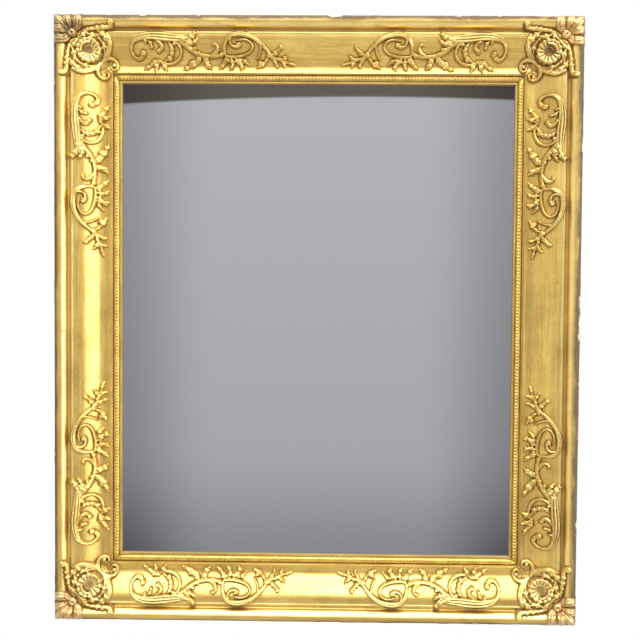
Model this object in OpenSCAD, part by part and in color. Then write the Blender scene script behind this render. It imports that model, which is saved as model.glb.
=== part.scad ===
// Gilded picture frame with cast scrolls, corner cartouches and a leaf-tip sight edge.
// It hangs on a wall: the origin is the middle of its back plane, +Z is up and the front faces -Y.
// Left and right are as seen from the front.

/* [Opening] */
// Width of the sight opening
sight_w = 526; // [500:1:900]
// Height of the sight opening
sight_h = 634; // [500:1:1200]
// How far the rebate reaches behind the sight edge
rebate_w = 9; // [7:0.5:12]
// Depth of the rebate, which is the thickness of the back battens
rebate_t = 18; // [14:0.5:24]

/* [Rail profile] */
// Width of a rail from its outer edge to the sight edge
rail_w = 86; // [82:1:100]
// Height of the outer rim above the back
rim_h = 58; // [56:0.5:64]
// Height at which the rim's outer flank begins
flank_h = 46; // [40:0.5:50]
// Width of the rim's outer flank
flank_w = 9; // [7:0.5:12]
// Radius of the rim's inner round
nose_r = 8; // [6:0.25:8.5]
// Width of the groove inside the rim
groove_w = 5; // [4:0.25:6]
// Depth of the groove below the rim's inner round
groove_d = 2.5; // [1.5:0.25:4]
// Height of the fillet inside the groove
fillet_h = 50.5; // [49:0.25:52]
// Width of the fillet
fillet_w = 2.6; // [2:0.2:4]
// Drop from the fillet to the shoulder of the gorge
shoulder_drop = 0.5; // [0.3:0.1:1]
// Height of the gorge's hollow
hollow_h = 28.5; // [26:0.5:32]
// How far the gorge's steepest part lies towards the opening; at 1 it is in the middle
gorge_lean = 1.3; // [1:0.05:1.5]
// Width of the curl between the hollow and the sight moulding
curl_w = 8.5; // [6:0.5:11]
// Rise of the curl
curl_rise = 2; // [1:0.25:3]
// Width of the quirk beside the sight moulding
quirk_w = 2; // [1.5:0.25:3]
// Depth of the quirk below the curl's edge
quirk_d = 3; // [2:0.25:4]
// Width of the flat lip at the sight edge
lip_w = 2.6; // [2:0.2:4]
// Height of the lip
lip_h = 28; // [27:0.5:30]

/* [Sight moulding] */
// Width of the leaf-tip moulding
strip_w = 8.9; // [7:0.1:11]
// Height of the moulding above its bed
strip_h = 5.5; // [4:0.5:6]
// Depth of the bed below the lip
strip_bed_d = 2; // [1.5:0.25:3]
// Play on each side of the moulding in its bed
strip_play = 0.15; // [0.1:0.05:0.3]

/* [Back battens and keys] */
// How far the battens stand in from the rails' outer edge
batten_inset = 3; // [2:0.5:6]
// Length of a dovetail key
key_len = 34; // [26:1:44]
// Width of a key at its ends
key_w = 16; // [12:0.5:20]
// Width of a key at its waist
key_waist = 9; // [6:0.5:11]
// Thickness of a key
key_t = 6; // [4:0.5:9]
// Play round a key in its pocket
key_play = 0.1; // [0.05:0.05:0.3]

/* [Cast ornaments] */
// Gap between a cast and the moulding, filled by glue
glue_gap = 0.35; // [0.3:0.05:0.5]
// Distance from the outer corner to the start of a scroll
scroll_start = 96; // [92:1:98]
// Length of a scroll
scroll_len = 224; // [200:1:230]
// Half width of a scroll's main band, as a share of the scroll's size
band_share = 0.0286; // [0.024:0.0002:0.031]
// Height of a scroll above the gorge
scroll_relief = 6.5; // [4:0.5:9]
// Reach of a scroll over the groove, from the fillet outwards
scroll_over = 2; // [1:0.25:3]
// How far a corner cartouche reaches past the rail's width
corner_over = 4; // [2:0.5:6]
// Half width of a cartouche's band, as a share of its side
corner_band_share = 0.0333; // [0.025:0.0005:0.037]
// Height of a cartouche's bands above the moulding
corner_relief = 6; // [4:0.5:8]
// Radius of the shell, as a share of the cartouche's side
shell_share = 0.189; // [0.16:0.001:0.21]
// Height of the shell's rim above the back
shell_h = 49; // [48.5:0.25:51]
// Height of the shell's dome above its rim
shell_dome = 5; // [3:0.5:6]
// Height of a palmette's lobes above the rim
palmette_relief = 3.6; // [2:0.2:5]

/* [Strap hangers and rings] */
// Height of the rings' axis above the middle of the frame
hanger_z = 190; // [150:1:210]
// Distance of a hanger from the outer edge
hanger_u = 38; // [34:1:44]
// Width of the strap
strap_w = 11; // [9:0.5:14]
// Length of the strap above the ring's axis
strap_len = 32; // [30:1:40]
// Thickness of the strap's sheet, which is folded double
strap_t = 1; // [0.8:0.1:1.4]
// Radius of the ring's wire
wire_r = 1.25; // [1:0.05:1.5]
// Play of the wire in the strap's loop, on the radius
wire_play = 0.08; // [0.05:0.01:0.1]
// Half of the ring's width, at the middle of its wire
ring_half_w = 10; // [9:0.5:12]
// Length of the ring's straight sides
ring_leg = 8; // [7:0.5:10]
// Distance from the ring's axis to the first strap screw
strap_screw_1 = 11.5; // [11:0.25:12]
// Distance from the ring's axis to the second strap screw
strap_screw_2 = 27; // [25:0.5:28]

/* [Turn buttons] */
// Height of the side buttons above and below the middle
button_z = 130; // [80:1:140]
// Reach of a button from its screw to its tip
button_reach = 17; // [14:0.5:17.5]
// Width of a button
button_w = 10; // [8:0.5:12]
// Thickness of a button
button_t = 1.6; // [1.2:0.1:2.5]
// Distance from a button's screw to the wall of the rebate
button_back = 9; // [7.5:0.25:10]
// Play below and above a button
button_play = 0.2; // [0.1:0.05:0.3]

/* [Screws] */
// Radius of the screws' shank
shank_r = 1.6; // [1.2:0.1:2]
// Play of a screw in its hole, on the radius
shank_play = 0.08; // [0.05:0.01:0.1]
// Radius of the screws' head
head_r = 3; // [2.6:0.1:3.3]
// Height of the screws' head
head_t = 1.7; // [1.2:0.1:2.2]
// Length of the screws below the head
screw_len = 14; // [10:0.5:16]
// Width of the slot in a screw's head
slot_w = 0.9; // [0.6:0.1:1.2]
// Depth of the slot
slot_d = 0.8; // [0.5:0.1:1]

/* [Hidden] */
$fn = 48;

outer_w = sight_w + 2 * rail_w;
outer_h = sight_h + 2 * rail_w;
batten_u = rail_w - rebate_w;
groove_u = flank_w + nose_r;
fillet_u = groove_u + groove_w;
shoulder_u = fillet_u + fillet_w;
lip_u = rail_w - lip_w;
strip_u = lip_u - strip_w;
quirk_u = strip_u - quirk_w;
hollow_u = quirk_u - curl_w;
shoulder_h = fillet_h - shoulder_drop;
curl_h = hollow_h + curl_rise;
quirk_h = curl_h - quirk_d;
bed_h = lip_h - strip_bed_d;
scroll_u = fillet_u - scroll_over;
scroll_w = quirk_u - scroll_u;
band_half = sqrt(scroll_len * scroll_w) * band_share;
corner_side = rail_w + corner_over;
corner_band_half = corner_side * corner_band_share;
shell_r = corner_side * shell_share;
loop_r = wire_r + wire_play + strap_t;
hanger_x = outer_w / 2 - hanger_u;
button_u = batten_u - button_back;
button_x = outer_w / 2 - button_u;
button_top_z = outer_h / 2 - button_u;
// How far a cut runs past the face that it goes through
over = 2;
gilt = [0.83, 0.68, 0.33];
gilt_cast = [0.87, 0.73, 0.4];
gilt_strip = [0.78, 0.62, 0.3];
pine = [0.72, 0.56, 0.36];
beech = [0.6, 0.42, 0.25];
brass = [0.74, 0.6, 0.3];
iron = [0.3, 0.28, 0.27];

// Outline of the moulding, as [distance from the outer edge, height above the back]
function arc_points(cu, cv, ru, rv, from, to, steps) =
    [for (i = [0 : steps]) let (a = from + (to - from) * i / steps) [cu + ru * cos(a), cv + rv * sin(a)]];

flank = arc_points(flank_w, flank_h, flank_w, rim_h - flank_h, 180, 90, 6);
nose = arc_points(flank_w, rim_h - nose_r, nose_r, nose_r, 75, 0, 4);
groove_r = groove_w / 2;
gorge_steps = 10;
groove = arc_points(groove_u + groove_r, min(rim_h - nose_r, fillet_h), groove_r, groove_d, 180, 360, 6);
fillet = [[fillet_u, fillet_h], [shoulder_u, fillet_h]];
gorge = [for (i = [0 : gorge_steps]) let (t = i / gorge_steps)
    [shoulder_u + (hollow_u - shoulder_u) * t,
     hollow_h + (shoulder_h - hollow_h) * (1 + cos(180 * pow(t, gorge_lean))) / 2]];
curl = [for (i = [1 : 4]) let (t = i / 4) [hollow_u + curl_w * t, hollow_h + curl_rise * t * t]];
lip = [
    [quirk_u, quirk_h], [strip_u, quirk_h], [strip_u, bed_h], [lip_u, bed_h], [lip_u, lip_h],
    [rail_w, lip_h], [rail_w, rebate_t], [0, rebate_t]
];
moulding_outline = concat(flank, nose, groove, fillet, gorge, curl, lip);

// The surface that the casts are glued to: it bridges the groove
cast_bed = concat(flank, [for (i = [0 : 3]) nose[i]], fillet, [for (i = [1 : gorge_steps]) gorge[i]], curl);
function bed_height(u) = lookup(u, cast_bed);
// How far a cast's bands reach below the bed before its underside is cut to the bed's shape
sink = 1.2;

// A cast's band or leaf: a section carried along stations of [x, y, half width, height]
band_section_shares = [[-1, 0], [-0.5, 1], [0.5, 1], [1, 0]];
leaf_section_shares = [[-1, 0], [0, 1], [1, 0]];

function heading(p, i) =
    let (d = p[min(i + 1, len(p) - 1)] - p[max(i - 1, 0)], l = sqrt(d.x * d.x + d.y * d.y))
    [d.x / l, d.y / l];
// On a corner the bed turns along the mitre, so the nearer outer edge counts
function bed_at(x, y, corner) = bed_height(corner ? min(x, y) : y);

module band(stations, section, corner = false) {
    n = len(stations);
    m = len(section);
    points = [
        for (i = [0 : n - 1], k = [0 : m - 1])
            let (p = stations[i], d = heading(stations, i),
                 x = p.x - d.y * p[2] * section[k][0],
                 y = p.y + d.x * p[2] * section[k][0])
            [x, y, bed_at(x, y, corner) + glue_gap - sink + (p[3] + sink) * section[k][1]]
    ];
    sides = [
        for (i = [0 : n - 2], k = [0 : m - 1])
            let (a = i * m + k, b = i * m + (k + 1) % m)
            each [[a, b, a + m], [b, b + m, a + m]]
    ];
    first_cap = [for (k = [1 : m - 2]) [0, k + 1, k]];
    last_cap = [for (k = [1 : m - 2]) [(n - 1) * m, (n - 1) * m + k, (n - 1) * m + k + 1]];
    polyhedron(points = points, faces = concat(sides, first_cap, last_cap), convexity = 8);
}

// A round bump of a cast
bead_shares = [[-1, 0.4, 0.5], [0, 1, 1], [1, 0.4, 0.5]];
module bead(x, y, r, h, corner = false) {
    hull()
        band([for (b = bead_shares) [x + r * b[0], y, r * b[1], h * b[2]]], leaf_section_shares, corner);
}

// Scroll motif. Rows are shares of the scroll's length, the gorge's width, the band and the relief.
big_scroll_shares = [
    [0.095, 0.6, 0.5, 0.4], [0.075, 0.7, 0.65, 0.5], [0.035, 0.67, 0.7, 0.7], [0.015, 0.5, 0.8, 0.85],
    [0.024, 0.29, 0.85, 0.9], [0.058, 0.165, 0.95, 0.95], [0.11, 0.11, 1.05, 1], [0.175, 0.11, 1.1, 1],
    [0.23, 0.155, 1.1, 1], [0.275, 0.225, 1, 0.95], [0.318, 0.27, 0.95, 0.9], [0.355, 0.24, 0.9, 0.85],
    [0.38, 0.14, 0.85, 0.8], [0.41, 0.08, 0.7, 0.6], [0.43, 0.11, 0.4, 0.4]
];
small_scroll_shares = [
    [0.573, 0.56, 0.5, 0.5], [0.573, 0.4, 0.7, 0.7], [0.577, 0.25, 0.85, 0.85], [0.595, 0.11, 1, 1],
    [0.635, 0.055, 1.1, 1], [0.685, 0.085, 1.05, 1], [0.73, 0.21, 0.95, 0.95], [0.775, 0.375, 0.85, 0.85],
    [0.826, 0.585, 0.7, 0.7]
];
inner_loop_shares = [
    [0.622, 0.44, 0.5, 0.5], [0.632, 0.33, 0.6, 0.7], [0.66, 0.265, 0.7, 0.8], [0.695, 0.28, 0.8, 0.8],
    [0.722, 0.38, 0.9, 0.85], [0.715, 0.5, 1, 0.85], [0.685, 0.6, 0.8, 0.8], [0.64, 0.635, 0.6, 0.7],
    [0.58, 0.63, 0.5, 0.6]
];
volute_shares = [
    [0.65, 0.62, 0.4, 0.5], [0.634, 0.5, 0.45, 0.5], [0.646, 0.39, 0.45, 0.6], [0.668, 0.4, 0.4, 0.6],
    [0.673, 0.48, 0.35, 0.5], [0.657, 0.52, 0.3, 0.4]
];
return_arc_shares = [
    [0.28, 0.26, 0.5, 0.7], [0.3, 0.4, 0.65, 0.75], [0.303, 0.54, 0.75, 0.75], [0.292, 0.67, 0.8, 0.7],
    [0.262, 0.765, 0.75, 0.7], [0.225, 0.79, 0.65, 0.6], [0.19, 0.75, 0.5, 0.5], [0.165, 0.72, 0.4, 0.4]
];
stem_shares = [
    [0.315, 0.31, 0.7, 0.7], [0.35, 0.41, 0.6, 0.6], [0.39, 0.53, 0.55, 0.5], [0.44, 0.6, 0.5, 0.5],
    [0.5, 0.62, 0.5, 0.5], [0.55, 0.6, 0.6, 0.6], [0.574, 0.45, 0.5, 0.5]
];
tail_shares = [
    [0.825, 0.58, 0.65, 0.7], [0.86, 0.63, 0.5, 0.6], [0.9, 0.69, 0.55, 0.6], [0.945, 0.75, 0.5, 0.5],
    [0.99, 0.77, 0.2, 0.2]
];
// Leaves of the scroll, each a row of stations like those above
leaf_shares = [
    [[0.145, 0.11, 0.6, 0.7], [0.187, 0.25, 1.1, 0.9], [0.197, 0.42, 0.7, 0.7], [0.168, 0.54, 0.15, 0.2]],
    [[0.21, 0.15, 0.6, 0.7], [0.248, 0.29, 1.1, 0.9], [0.24, 0.45, 0.7, 0.7], [0.208, 0.6, 0.15, 0.2]],
    [[0.165, 0.7, 0.4, 0.4], [0.12, 0.74, 1, 0.6], [0.09, 0.93, 0.2, 0.2]],
    [[0.165, 0.7, 0.4, 0.4], [0.15, 0.84, 1, 0.7], [0.145, 0.98, 0.2, 0.2]],
    [[0.35, 0.26, 0.5, 0.5], [0.39, 0.29, 1, 0.8], [0.41, 0.2, 0.2, 0.2]],
    [[0.45, 0.6, 0.4, 0.4], [0.497, 0.54, 0.7, 0.6], [0.503, 0.37, 0.15, 0.2]],
    [[0.43, 0.57, 0.6, 0.5], [0.395, 0.76, 1, 0.6], [0.34, 0.93, 0.15, 0.2]],
    [[0.455, 0.59, 0.5, 0.5], [0.482, 0.77, 0.9, 0.6], [0.455, 0.92, 0.2, 0.2]],
    [[0.6, 0.63, 0.6, 0.5], [0.62, 0.8, 0.8, 0.6], [0.64, 0.95, 0.5, 0.4]],
    [[0.645, 0.63, 0.6, 0.5], [0.665, 0.77, 0.9, 0.6], [0.68, 0.93, 0.2, 0.2]],
    [[0.823, 0.62, 0.4, 0.5], [0.808, 0.76, 1.2, 0.8], [0.75, 0.85, 0.3, 0.3]],
    [[0.86, 0.63, 0.4, 0.4], [0.895, 0.55, 0.8, 0.6], [0.905, 0.36, 0.15, 0.2]]
];
// Berries, buds and knots: place, radius and height
berry_shares = [
    [0.082, 0.6, 1, 0.8], [0.255, 0.74, 1, 0.7], [0.448, 0.64, 0.9, 0.6], [0.556, 0.58, 1, 0.8],
    [0.612, 0.76, 0.8, 0.6], [0.625, 0.86, 0.9, 0.7], [0.64, 0.95, 0.8, 0.5], [0.826, 0.585, 1.1, 0.9]
];

function scroll_stations(shares) = [for (p = shares)
    [scroll_start + scroll_len * p[0], scroll_u + scroll_w * p[1], band_half * p[2], scroll_relief * p[3]]];

module scroll_cast() {
    for (shares = [big_scroll_shares, small_scroll_shares, inner_loop_shares])
        band(scroll_stations(shares), band_section_shares);
    for (shares = [volute_shares, return_arc_shares, stem_shares, tail_shares])
        band(scroll_stations(shares), leaf_section_shares);
    for (shares = leaf_shares)
        band(scroll_stations(shares), leaf_section_shares);
    for (p = scroll_stations(berry_shares))
        bead(p.x, p.y, p[2], p[3]);
}

// Corner cartouche: one half of it, mirrored on the mitre. Rows are shares as above.
cartouche_arc_shares = [
    [0.26, 0.77, 0.6, 0.6], [0.33, 0.81, 0.9, 0.8], [0.43, 0.82, 1, 0.9], [0.52, 0.78, 1, 1],
    [0.6, 0.71, 0.9, 1], [0.665, 0.65, 0.9, 1], [0.735, 0.615, 0.9, 0.9], [0.81, 0.615, 0.85, 0.8],
    [0.875, 0.645, 0.75, 0.7], [0.9, 0.69, 0.65, 0.6], [0.88, 0.735, 0.55, 0.6], [0.845, 0.74, 0.45, 0.6],
    [0.83, 0.7, 0.4, 0.5]
];
cartouche_strip_shares = [
    [0.46, 0.25, 0.7, 0.6], [0.54, 0.215, 0.8, 0.7], [0.64, 0.205, 0.8, 0.7], [0.74, 0.205, 0.8, 0.7],
    [0.82, 0.185, 0.8, 0.7], [0.865, 0.205, 0.7, 0.7], [0.875, 0.255, 0.6, 0.6], [0.84, 0.285, 0.5, 0.5]
];
cartouche_collar_shares = [[0.49, 0.23, 0.6, 0.6], [0.44, 0.29, 0.9, 0.8], [0.4, 0.35, 1, 0.9], [0.36, 0.38, 1, 0.9]];
cartouche_leaf_shares = [
    [[0.5, 0.26, 0.6, 0.6], [0.55, 0.3, 1, 0.8], [0.6, 0.33, 0.9, 0.7], [0.65, 0.35, 0.3, 0.3]],
    [[0.6, 0.22, 0.6, 0.6], [0.645, 0.28, 1.1, 0.9], [0.69, 0.33, 1, 0.8], [0.72, 0.4, 0.3, 0.3]],
    [[0.7, 0.21, 0.6, 0.6], [0.74, 0.27, 1, 0.8], [0.765, 0.34, 0.9, 0.7], [0.775, 0.42, 0.3, 0.3]],
    [[0.835, 0.29, 0.5, 0.5], [0.815, 0.36, 0.8, 0.7], [0.81, 0.46, 0.9, 0.8], [0.78, 0.58, 0.6, 0.6]]
];
cartouche_bead_shares = [[0.55, 0.2, 0.9, 0.8], [0.65, 0.19, 0.9, 0.8], [0.75, 0.19, 0.9, 0.8],
    [0.86, 0.71, 0.9, 0.8]];
shell_place_share = 0.495;
shell_ring_shares = [[0.4, 0.9], [0.7, 0.2], [0.9, 0.5], [1, 0]];
shell_lobes = 8;
shell_slope = 0.3;
shell_valley_share = 0.35;
// Least height of the shell above what it lies on
shell_edge_t = 0.35;

function corner_stations(shares) = [for (p = shares)
    [corner_side * p[0], corner_side * p[1], corner_band_half * p[2], corner_relief * p[3]]];

// The shell fills the valley of the mitre, so its underside follows the moulding
module shell() {
    centre = corner_side * shell_place_share;
    n = 2 * shell_lobes;
    rings = len(shell_ring_shares);
    function place(r, a) = [centre + r * cos(a), centre + r * sin(a)];
    function rim_height(x, y) = shell_h - shell_slope * ((x - centre) + (y - centre)) / sqrt(2);
    function top(k, i) =
        let (share = shell_ring_shares[k], p = place(shell_r * share[0], 360 * i / n),
             valley = k > 0 && i % 2 == 1 ? shell_dome * shell_valley_share : 0)
        [p.x, p.y, max(rim_height(p.x, p.y) + shell_dome * share[1] - valley,
                       bed_at(p.x, p.y, true) + shell_edge_t)];
    function under(k, i) =
        let (p = place(shell_r * shell_ring_shares[k][0], 360 * i / n))
        [p.x, p.y, bed_at(p.x, p.y, true) + glue_gap - sink];
    points = concat(
        [for (k = [0 : rings - 1], i = [0 : n - 1]) top(k, i)],
        [for (k = [0 : rings - 1], i = [0 : n - 1]) under(k, i)],
        [[centre, centre, shell_h + shell_dome], [centre, centre, bed_height(centre) + glue_gap - sink]]);
    low = rings * n;
    crown = 2 * low;
    faces = concat(
        [for (i = [0 : n - 1]) [crown, (i + 1) % n, i]],
        [for (i = [0 : n - 1]) [crown + 1, low + i, low + (i + 1) % n]],
        [for (k = [0 : rings - 2], i = [0 : n - 1]) let (a = k * n + i, b = k * n + (i + 1) % n)
            each [[a, b, a + n], [b, b + n, a + n],
                  [low + a, low + a + n, low + b], [low + b, low + a + n, low + b + n]]],
        [for (i = [0 : n - 1]) let (a = low - n + i, b = low - n + (i + 1) % n)
            each [[a, b, low + a], [b, low + b, low + a]]]);
    polyhedron(points = points, faces = faces, convexity = 6);
}

module cartouche_half() {
    band(corner_stations(cartouche_arc_shares), band_section_shares, true);
    band(corner_stations(cartouche_strip_shares), band_section_shares, true);
    band(corner_stations(cartouche_collar_shares), band_section_shares, true);
    for (shares = cartouche_leaf_shares)
        band(corner_stations(shares), leaf_section_shares, true);
    for (p = corner_stations(cartouche_bead_shares))
        bead(p.x, p.y, p[2], p[3], true);
}

module cartouche_cast() {
    shell();
    cartouche_half();
    mirror([1, -1, 0]) cartouche_half();
}

// Outer palmette: lobes that fan out from the collar over the corner of the rim
palmette_half_shares = [
    [[0.335, 0.25, 0.8, 0.8], [0.36, 0.17, 1.15, 1], [0.367, 0.1, 1.2, 1], [0.361, 0.05, 0.95, 0.7]],
    [[0.285, 0.22, 0.8, 0.8], [0.25, 0.145, 1.2, 1], [0.223, 0.09, 1.25, 1], [0.212, 0.055, 1, 0.7]]
];
palmette_middle_shares = [[0.25, 0.25, 0.8, 0.9], [0.172, 0.172, 1.2, 1], [0.11, 0.11, 1.3, 1], [0.072, 0.072, 1, 0.7]];
palmette_bead_shares = [[0.325, 0.275, 1, 1.7], [0.37, 0.24, 0.6, 1.3], [0.355, 0.075, 0.45, 1.3],
    [0.215, 0.08, 0.45, 1.3]];
// Half width of a lobe of the palmette, as a share of the cartouche's side
lobe_half_share = 0.0444;

function palmette_stations(shares) = [for (p = shares)
    [corner_side * p[0], corner_side * p[1], corner_side * lobe_half_share * p[2], palmette_relief * p[3]]];

module palmette_half() {
    for (shares = palmette_half_shares)
        band(palmette_stations(shares), band_section_shares, true);
    for (p = palmette_stations(palmette_bead_shares))
        bead(p.x, p.y, p[2], p[3], true);
}

module palmette_cast() {
    band(palmette_stations(palmette_middle_shares), band_section_shares, true);
    palmette_half();
    mirror([1, -1, 0]) palmette_half();
}

// Places. In a rail's own frame x runs along the rail from its corner, y inwards and z to the front.
module at_corner(right, top) {
    mirror([right ? 1 : 0, 0, 0])
        mirror([0, 0, top ? 1 : 0])
            translate([-outer_w / 2, 0, -outer_h / 2])
                rotate([90, 0, 0])
                    children();
}
module along_side() {
    mirror([1, -1, 0]) children();
}
// The back's own frame has y down and z to the wall
module on_back(x, z) {
    translate([x, 0, z])
        rotate([-90, 0, 0])
            children();
}

// A bar with mitred ends: the outline is carried along x and cut to the plan
module mitred_bar(length, outline, from_u, to_u, top_h) {
    intersection() {
        rotate([90, 0, 90])
            linear_extrude(length)
                polygon(outline);
        translate([0, 0, -over])
            linear_extrude(top_h + 2 * over)
                polygon([[from_u, from_u], [length - from_u, from_u], [length - to_u, to_u], [to_u, to_u]]);
    }
}

module moulding_rail(length) {
    mitred_bar(length, moulding_outline, 0, rail_w, rim_h);
}

// What is cut from a cast's underside, for a rail of that length
cast_under_outline = concat([[0, rebate_t]], [for (p = cast_bed) [p.x, p.y + glue_gap]], [[quirk_u, rebate_t]]);
module cast_underside(length) {
    mitred_bar(length, cast_under_outline, 0, quirk_u, rim_h);
}
module corner_underside() {
    cast_underside(outer_w);
    along_side() cast_underside(outer_w);
}

strip_outline = arc_points(strip_u + strip_w / 2, bed_h, strip_w / 2 - strip_play, strip_h, 0, 180, 10);
module sight_moulding(length) {
    mitred_bar(length, strip_outline, strip_u, lip_u, rim_h);
}

batten_outline = [[batten_inset, 0], [batten_u, 0], [batten_u, rebate_t], [batten_inset, rebate_t]];
key_place = (batten_inset + batten_u) / 2;

module key_outline(play) {
    l = key_len / 2 + play;
    w = key_w / 2 + play;
    n = key_waist / 2 + play;
    translate([key_place, key_place])
        rotate(-45)
            polygon([[-l, -w], [0, -n], [l, -w], [l, w], [0, n], [-l, w]]);
}

module key_pocket() {
    translate([0, 0, -over])
        linear_extrude(over + key_t + key_play)
            key_outline(key_play);
}

module corner_key() {
    linear_extrude(key_t)
        key_outline(0);
}

module batten(length) {
    difference() {
        mitred_bar(length, batten_outline, batten_inset, batten_u, rebate_t);
        key_pocket();
        translate([length, 0, 0]) mirror([1, 0, 0]) key_pocket();
    }
}

// Screws stand on z = 0 with the head above and the shank below
module screw_head() {
    dome_r = (head_r * head_r + head_t * head_t) / (2 * head_t);
    difference() {
        intersection() {
            cylinder(r = head_r, h = head_t);
            translate([0, 0, head_t - dome_r]) sphere(r = dome_r);
        }
        translate([-head_r, -slot_w / 2, head_t - slot_d])
            cube([2 * head_r, slot_w, slot_d + over]);
    }
}
// Length of a screw's tip, as a share of the screw's, and its end, as a share of the shank
tip_len_share = 0.3;
tip_share = 0.25;
module wood_screw() {
    tip = screw_len * tip_len_share;
    screw_head();
    translate([0, 0, tip - screw_len]) cylinder(r = shank_r, h = screw_len - tip);
    translate([0, 0, -screw_len]) cylinder(r1 = shank_r * tip_share, r2 = shank_r, h = tip);
}
module screw_hole() {
    translate([0, 0, -screw_len - over / 2])
        cylinder(r = shank_r + shank_play, h = screw_len + over);
}

// Hanger: the strap lies on the batten and its loop holds the ring's bar
module strap() {
    wedge = [[0, 0], [0, 2 * loop_r], [-2 * loop_r - strap_t, 2 * strap_t], [-2 * loop_r - strap_t, 0]];
    difference() {
        union() {
            translate([-strap_w / 2, -strap_len, 0]) cube([strap_w, strap_len, 2 * strap_t]);
            translate([0, -strap_len, 0]) cylinder(r = strap_w / 2, h = 2 * strap_t);
            translate([-strap_w / 2, 0, 0])
                rotate([90, 0, 90])
                    linear_extrude(strap_w)
                        polygon(wedge);
            translate([-strap_w / 2, 0, loop_r]) rotate([0, 90, 0]) cylinder(r = loop_r, h = strap_w);
        }
        translate([-strap_w / 2 - over, 0, loop_r])
            rotate([0, 90, 0])
                cylinder(r = wire_r + wire_play, h = strap_w + 2 * over);
        for (y = [strap_screw_1, strap_screw_2])
            translate([0, -y, 2 * strap_t]) screw_hole();
    }
}

module ring() {
    translate([0, 0, loop_r]) {
        translate([-ring_half_w, 0, 0]) rotate([0, 90, 0]) cylinder(r = wire_r, h = 2 * ring_half_w);
        for (side = [-1, 1])
            translate([side * ring_half_w, 0, 0]) {
                sphere(r = wire_r);
                rotate([-90, 0, 0]) cylinder(r = wire_r, h = ring_leg);
            }
        translate([0, ring_leg, 0])
            rotate_extrude(angle = 180)
                translate([ring_half_w, 0])
                    circle(r = wire_r);
    }
}

module turn_button() {
    tip = button_reach - button_w / 2;
    translate([0, 0, button_play])
        difference() {
            union() {
                cylinder(r = button_w / 2, h = button_t);
                translate([-button_w / 2, 0, 0]) cube([button_w, tip, button_t]);
                translate([0, tip, 0]) cylinder(r = button_w / 2, h = button_t);
            }
            translate([0, 0, -over]) cylinder(r = shank_r + shank_play, h = button_t + 2 * over);
        }
}

// Each row is a button's place on the back and its turn, with the tip along the rail
side_button_places = [for (x = [-button_x, button_x], z = [-button_z, button_z]) [x, z, 0]];
end_button_places = [for (z = [-button_top_z, button_top_z]) [0, z, -90]];

module place_button(p) {
    on_back(p[0], p[1]) rotate(p[2]) children();
}
module button_holes() {
    for (p = concat(side_button_places, end_button_places))
        place_button(p) translate([0, 0, 2 * button_play + button_t]) screw_hole();
}
module strap_holes() {
    for (x = [-hanger_x, hanger_x], y = [strap_screw_1, strap_screw_2])
        on_back(x, hanger_z) translate([0, -y, 2 * strap_t]) screw_hole();
}

// Placed parts
module rail_across(top) { color(gilt) at_corner(false, top) moulding_rail(outer_w); }
module rail_upright(right) { color(gilt) at_corner(right, false) along_side() moulding_rail(outer_h); }
module strip_across(top) { color(gilt_strip) at_corner(false, top) sight_moulding(outer_w); }
module strip_upright(right) { color(gilt_strip) at_corner(right, false) along_side() sight_moulding(outer_h); }
module batten_across(top) {
    color(pine)
        difference() {
            at_corner(false, top) batten(outer_w);
            button_holes();
        }
}
module batten_upright(right) {
    color(pine)
        difference() {
            at_corner(right, false) along_side() batten(outer_h);
            button_holes();
            strap_holes();
        }
}

module rail_top() { rail_across(true); }
module rail_bottom() { rail_across(false); }
module rail_left() { rail_upright(false); }
module rail_right() { rail_upright(true); }
module sight_moulding_top() { strip_across(true); }
module sight_moulding_bottom() { strip_across(false); }
module sight_moulding_left() { strip_upright(false); }
module sight_moulding_right() { strip_upright(true); }
module back_batten_top() { batten_across(true); }
module back_batten_bottom() { batten_across(false); }
module back_batten_left() { batten_upright(false); }
module back_batten_right() { batten_upright(true); }

module placed_key(right, top) { color(beech) at_corner(right, top) corner_key(); }
module corner_key_top_left() { placed_key(false, true); }
module corner_key_top_right() { placed_key(true, true); }
module corner_key_bottom_left() { placed_key(false, false); }
module corner_key_bottom_right() { placed_key(true, false); }

module seated_scroll() {
    difference() {
        scroll_cast();
        cast_underside(outer_w);
    }
}
module scroll_across(right, top) { color(gilt_cast) at_corner(right, top) seated_scroll(); }
module scroll_upright(right, top) { color(gilt_cast) at_corner(right, top) along_side() seated_scroll(); }
module scroll_top_left() { scroll_across(false, true); }
module scroll_top_right() { scroll_across(true, true); }
module scroll_bottom_left() { scroll_across(false, false); }
module scroll_bottom_right() { scroll_across(true, false); }
module scroll_left_upper() { scroll_upright(false, true); }
module scroll_left_lower() { scroll_upright(false, false); }
module scroll_right_upper() { scroll_upright(true, true); }
module scroll_right_lower() { scroll_upright(true, false); }

module placed_cartouche(right, top) {
    color(gilt_cast)
        at_corner(right, top)
            difference() {
                cartouche_cast();
                corner_underside();
            }
}
module cartouche_top_left() { placed_cartouche(false, true); }
module cartouche_top_right() { placed_cartouche(true, true); }
module cartouche_bottom_left() { placed_cartouche(false, false); }
module cartouche_bottom_right() { placed_cartouche(true, false); }

module placed_palmette(right, top) {
    color(gilt_cast)
        at_corner(right, top)
            difference() {
                palmette_cast();
                corner_underside();
            }
}
module palmette_top_left() { placed_palmette(false, true); }
module palmette_top_right() { placed_palmette(true, true); }
module palmette_bottom_left() { placed_palmette(false, false); }
module palmette_bottom_right() { placed_palmette(true, false); }

module hanger_strap_left() { color(brass) on_back(-hanger_x, hanger_z) strap(); }
module hanger_strap_right() { color(brass) on_back(hanger_x, hanger_z) strap(); }
module d_ring_left() { color(brass) on_back(-hanger_x, hanger_z) ring(); }
module d_ring_right() { color(brass) on_back(hanger_x, hanger_z) ring(); }
module hanger_screws() {
    color(iron)
        for (x = [-hanger_x, hanger_x], y = [strap_screw_1, strap_screw_2])
            on_back(x, hanger_z) translate([0, -y, 2 * strap_t]) wood_screw();
}

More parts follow.
